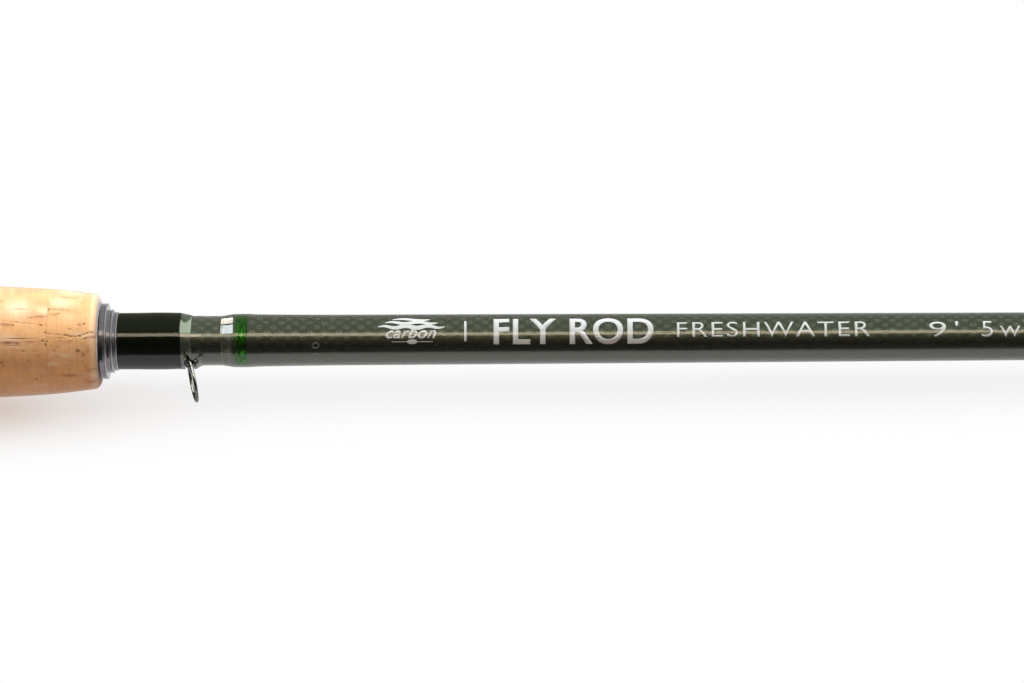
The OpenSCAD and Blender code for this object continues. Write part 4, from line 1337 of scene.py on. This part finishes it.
def backdrop(t, towards, above, across):
    """White paper with a painted soft shadow of the rod, warmer under the cork."""
    depth = t.times(towards, -1.0)
    x = t.op("MULTIPLY_ADD", t.op("DIVIDE", across, depth), DISTANCE / MM, AIM_AHEAD / MM)
    v = t.times(t.op("DIVIDE", above, depth), DISTANCE / MM)
    v = t.op("MULTIPLY_ADD", t.op("SUBTRACT", x, AIM_AHEAD / MM), -math.sin(ROLL), v)
    off = t.plus(v, SHADE_DROP)
    off = t.op("MAXIMUM", t.op("DIVIDE", off, SHADE_ABOVE),
               t.op("DIVIDE", off, -SHADE_BELOW))
    left = t.op("DIVIDE", t.op("MAXIMUM", t.plus(x, WARM_START), 0.0), WARM_REACH)
    fade = t.op("EXPONENT", t.times(t.op("POWER", left, 1.3), -1.0))
    warm_shadow = t.times(t.bell(t.op("DIVIDE", t.plus(v, WARM_DROP), WARM_SOFT)), fade)
    ahead = t.step(towards, -0.9, -0.96)
    paper = t.mix(t.times(t.bell(off), ahead), (1, 1, 1), SHADED)
    return t.mix(t.times(warm_shadow, ahead), paper, WARMED, "MULTIPLY")


def studio():
    world = bpy.context.scene.world = bpy.data.worlds.new("studio")
    t = Tree(world)
    world.cycles.sampling_method = "NONE"
    direction = t.add("ShaderNodeTexCoord")
    towards, above, across = (t.dot(direction, v) for v in (TO_CAMERA, UP, (1, 0, 0)))
    theta = t.times(t.op("ARCTAN2", above, towards), 180 / math.pi)
    mirror, rough = (reflections(t, theta, table) for table in (MIRROR, ROUGH))
    # two windows left of the camera and a dim one right of it
    left = t.window(across, -0.44, -0.145, 0.02, 0.01)
    for low, high, colour in ((33, 76, (14.0, 15.0, 15.5)), (84, 124, (13.5, 12.6, 11.0))):
        mirror = t.mix(t.times(left, t.window(theta, low, high, 1.5)), mirror, colour)
    right = t.times(t.step(across, 0.19, 0.24), t.window(theta, 34, 150, 4))
    mirror = t.mix(right, mirror, (3.6, 4.3, 3.4))
    end_light = t.mix(t.window(theta, -50, 16, 6), (2.5, 2.5, 2.55), (0.7, 0.7, 0.7))
    rough = t.mix(t.step(t.op("ABSOLUTE", across), 0.22, 0.5), rough, end_light)
    colour = t.mix(t.step(above, -0.9, 0.9), SOFT_LOW, SOFT_HIGH)
    ray = t.add("ShaderNodeLightPath").node.outputs
    for kind, seen in (("Glossy", rough), ("Singular", mirror),
                       ("Camera", backdrop(t, towards, above, across))):
        colour = t.mix(ray[f"Is {kind} Ray"], colour, seen)
    t.put(t.tree.nodes["Background"].inputs["Color"], colour)


def key_light():
    """A broad soft lamp above the rod as the camera sees it."""
    data = bpy.data.lights.new("key", "SUN")
    data.energy, data.angle, data.color = KEY_STRENGTH, KEY_SIZE, KEY_COLOUR
    lamp = linked("key", data)
    lamp.visible_glossy = False
    lamp.rotation_mode = "QUATERNION"
    to_lamp = TO_CAMERA * math.cos(KEY_ANGLE) + UP * math.sin(KEY_ANGLE)
    lamp.rotation_quaternion = to_lamp.to_track_quat("Z", "Y")


def floor():
    size = FLOOR_SIZE
    obj = add_mesh("floor", [(x, y, FLOOR_DROP) for x, y in
                             ((-size, -size), (size, -size), (size, size), (-size, size))],
                   [[0, 1, 2, 3]])
    t = material("floor")
    mm = t.coords()[0]
    far = t.add("ShaderNodeVectorMath", {0: mm}, out=1, operation="LENGTH")
    base = t.mix(t.noise(mm, 0.004), (0.80, 0.80, 0.79), (0.84, 0.84, 0.83))
    # painted light: the floor glows, from nothing near the rod to a glow of 0.6 far away
    t.finish(Base_Color=base, Roughness=0.9, Emission_Color=(1, 1, 1),
             Emission_Strength=t.step(far, 1500, 9000, 0.0, 0.6))
    obj.data.materials.append(MAT["floor"])
    obj.visible_glossy = obj.visible_diffuse = obj.visible_shadow = False


camera()
studio()
key_light()
floor()
bpy.context.scene.view_settings.view_transform = "Standard"
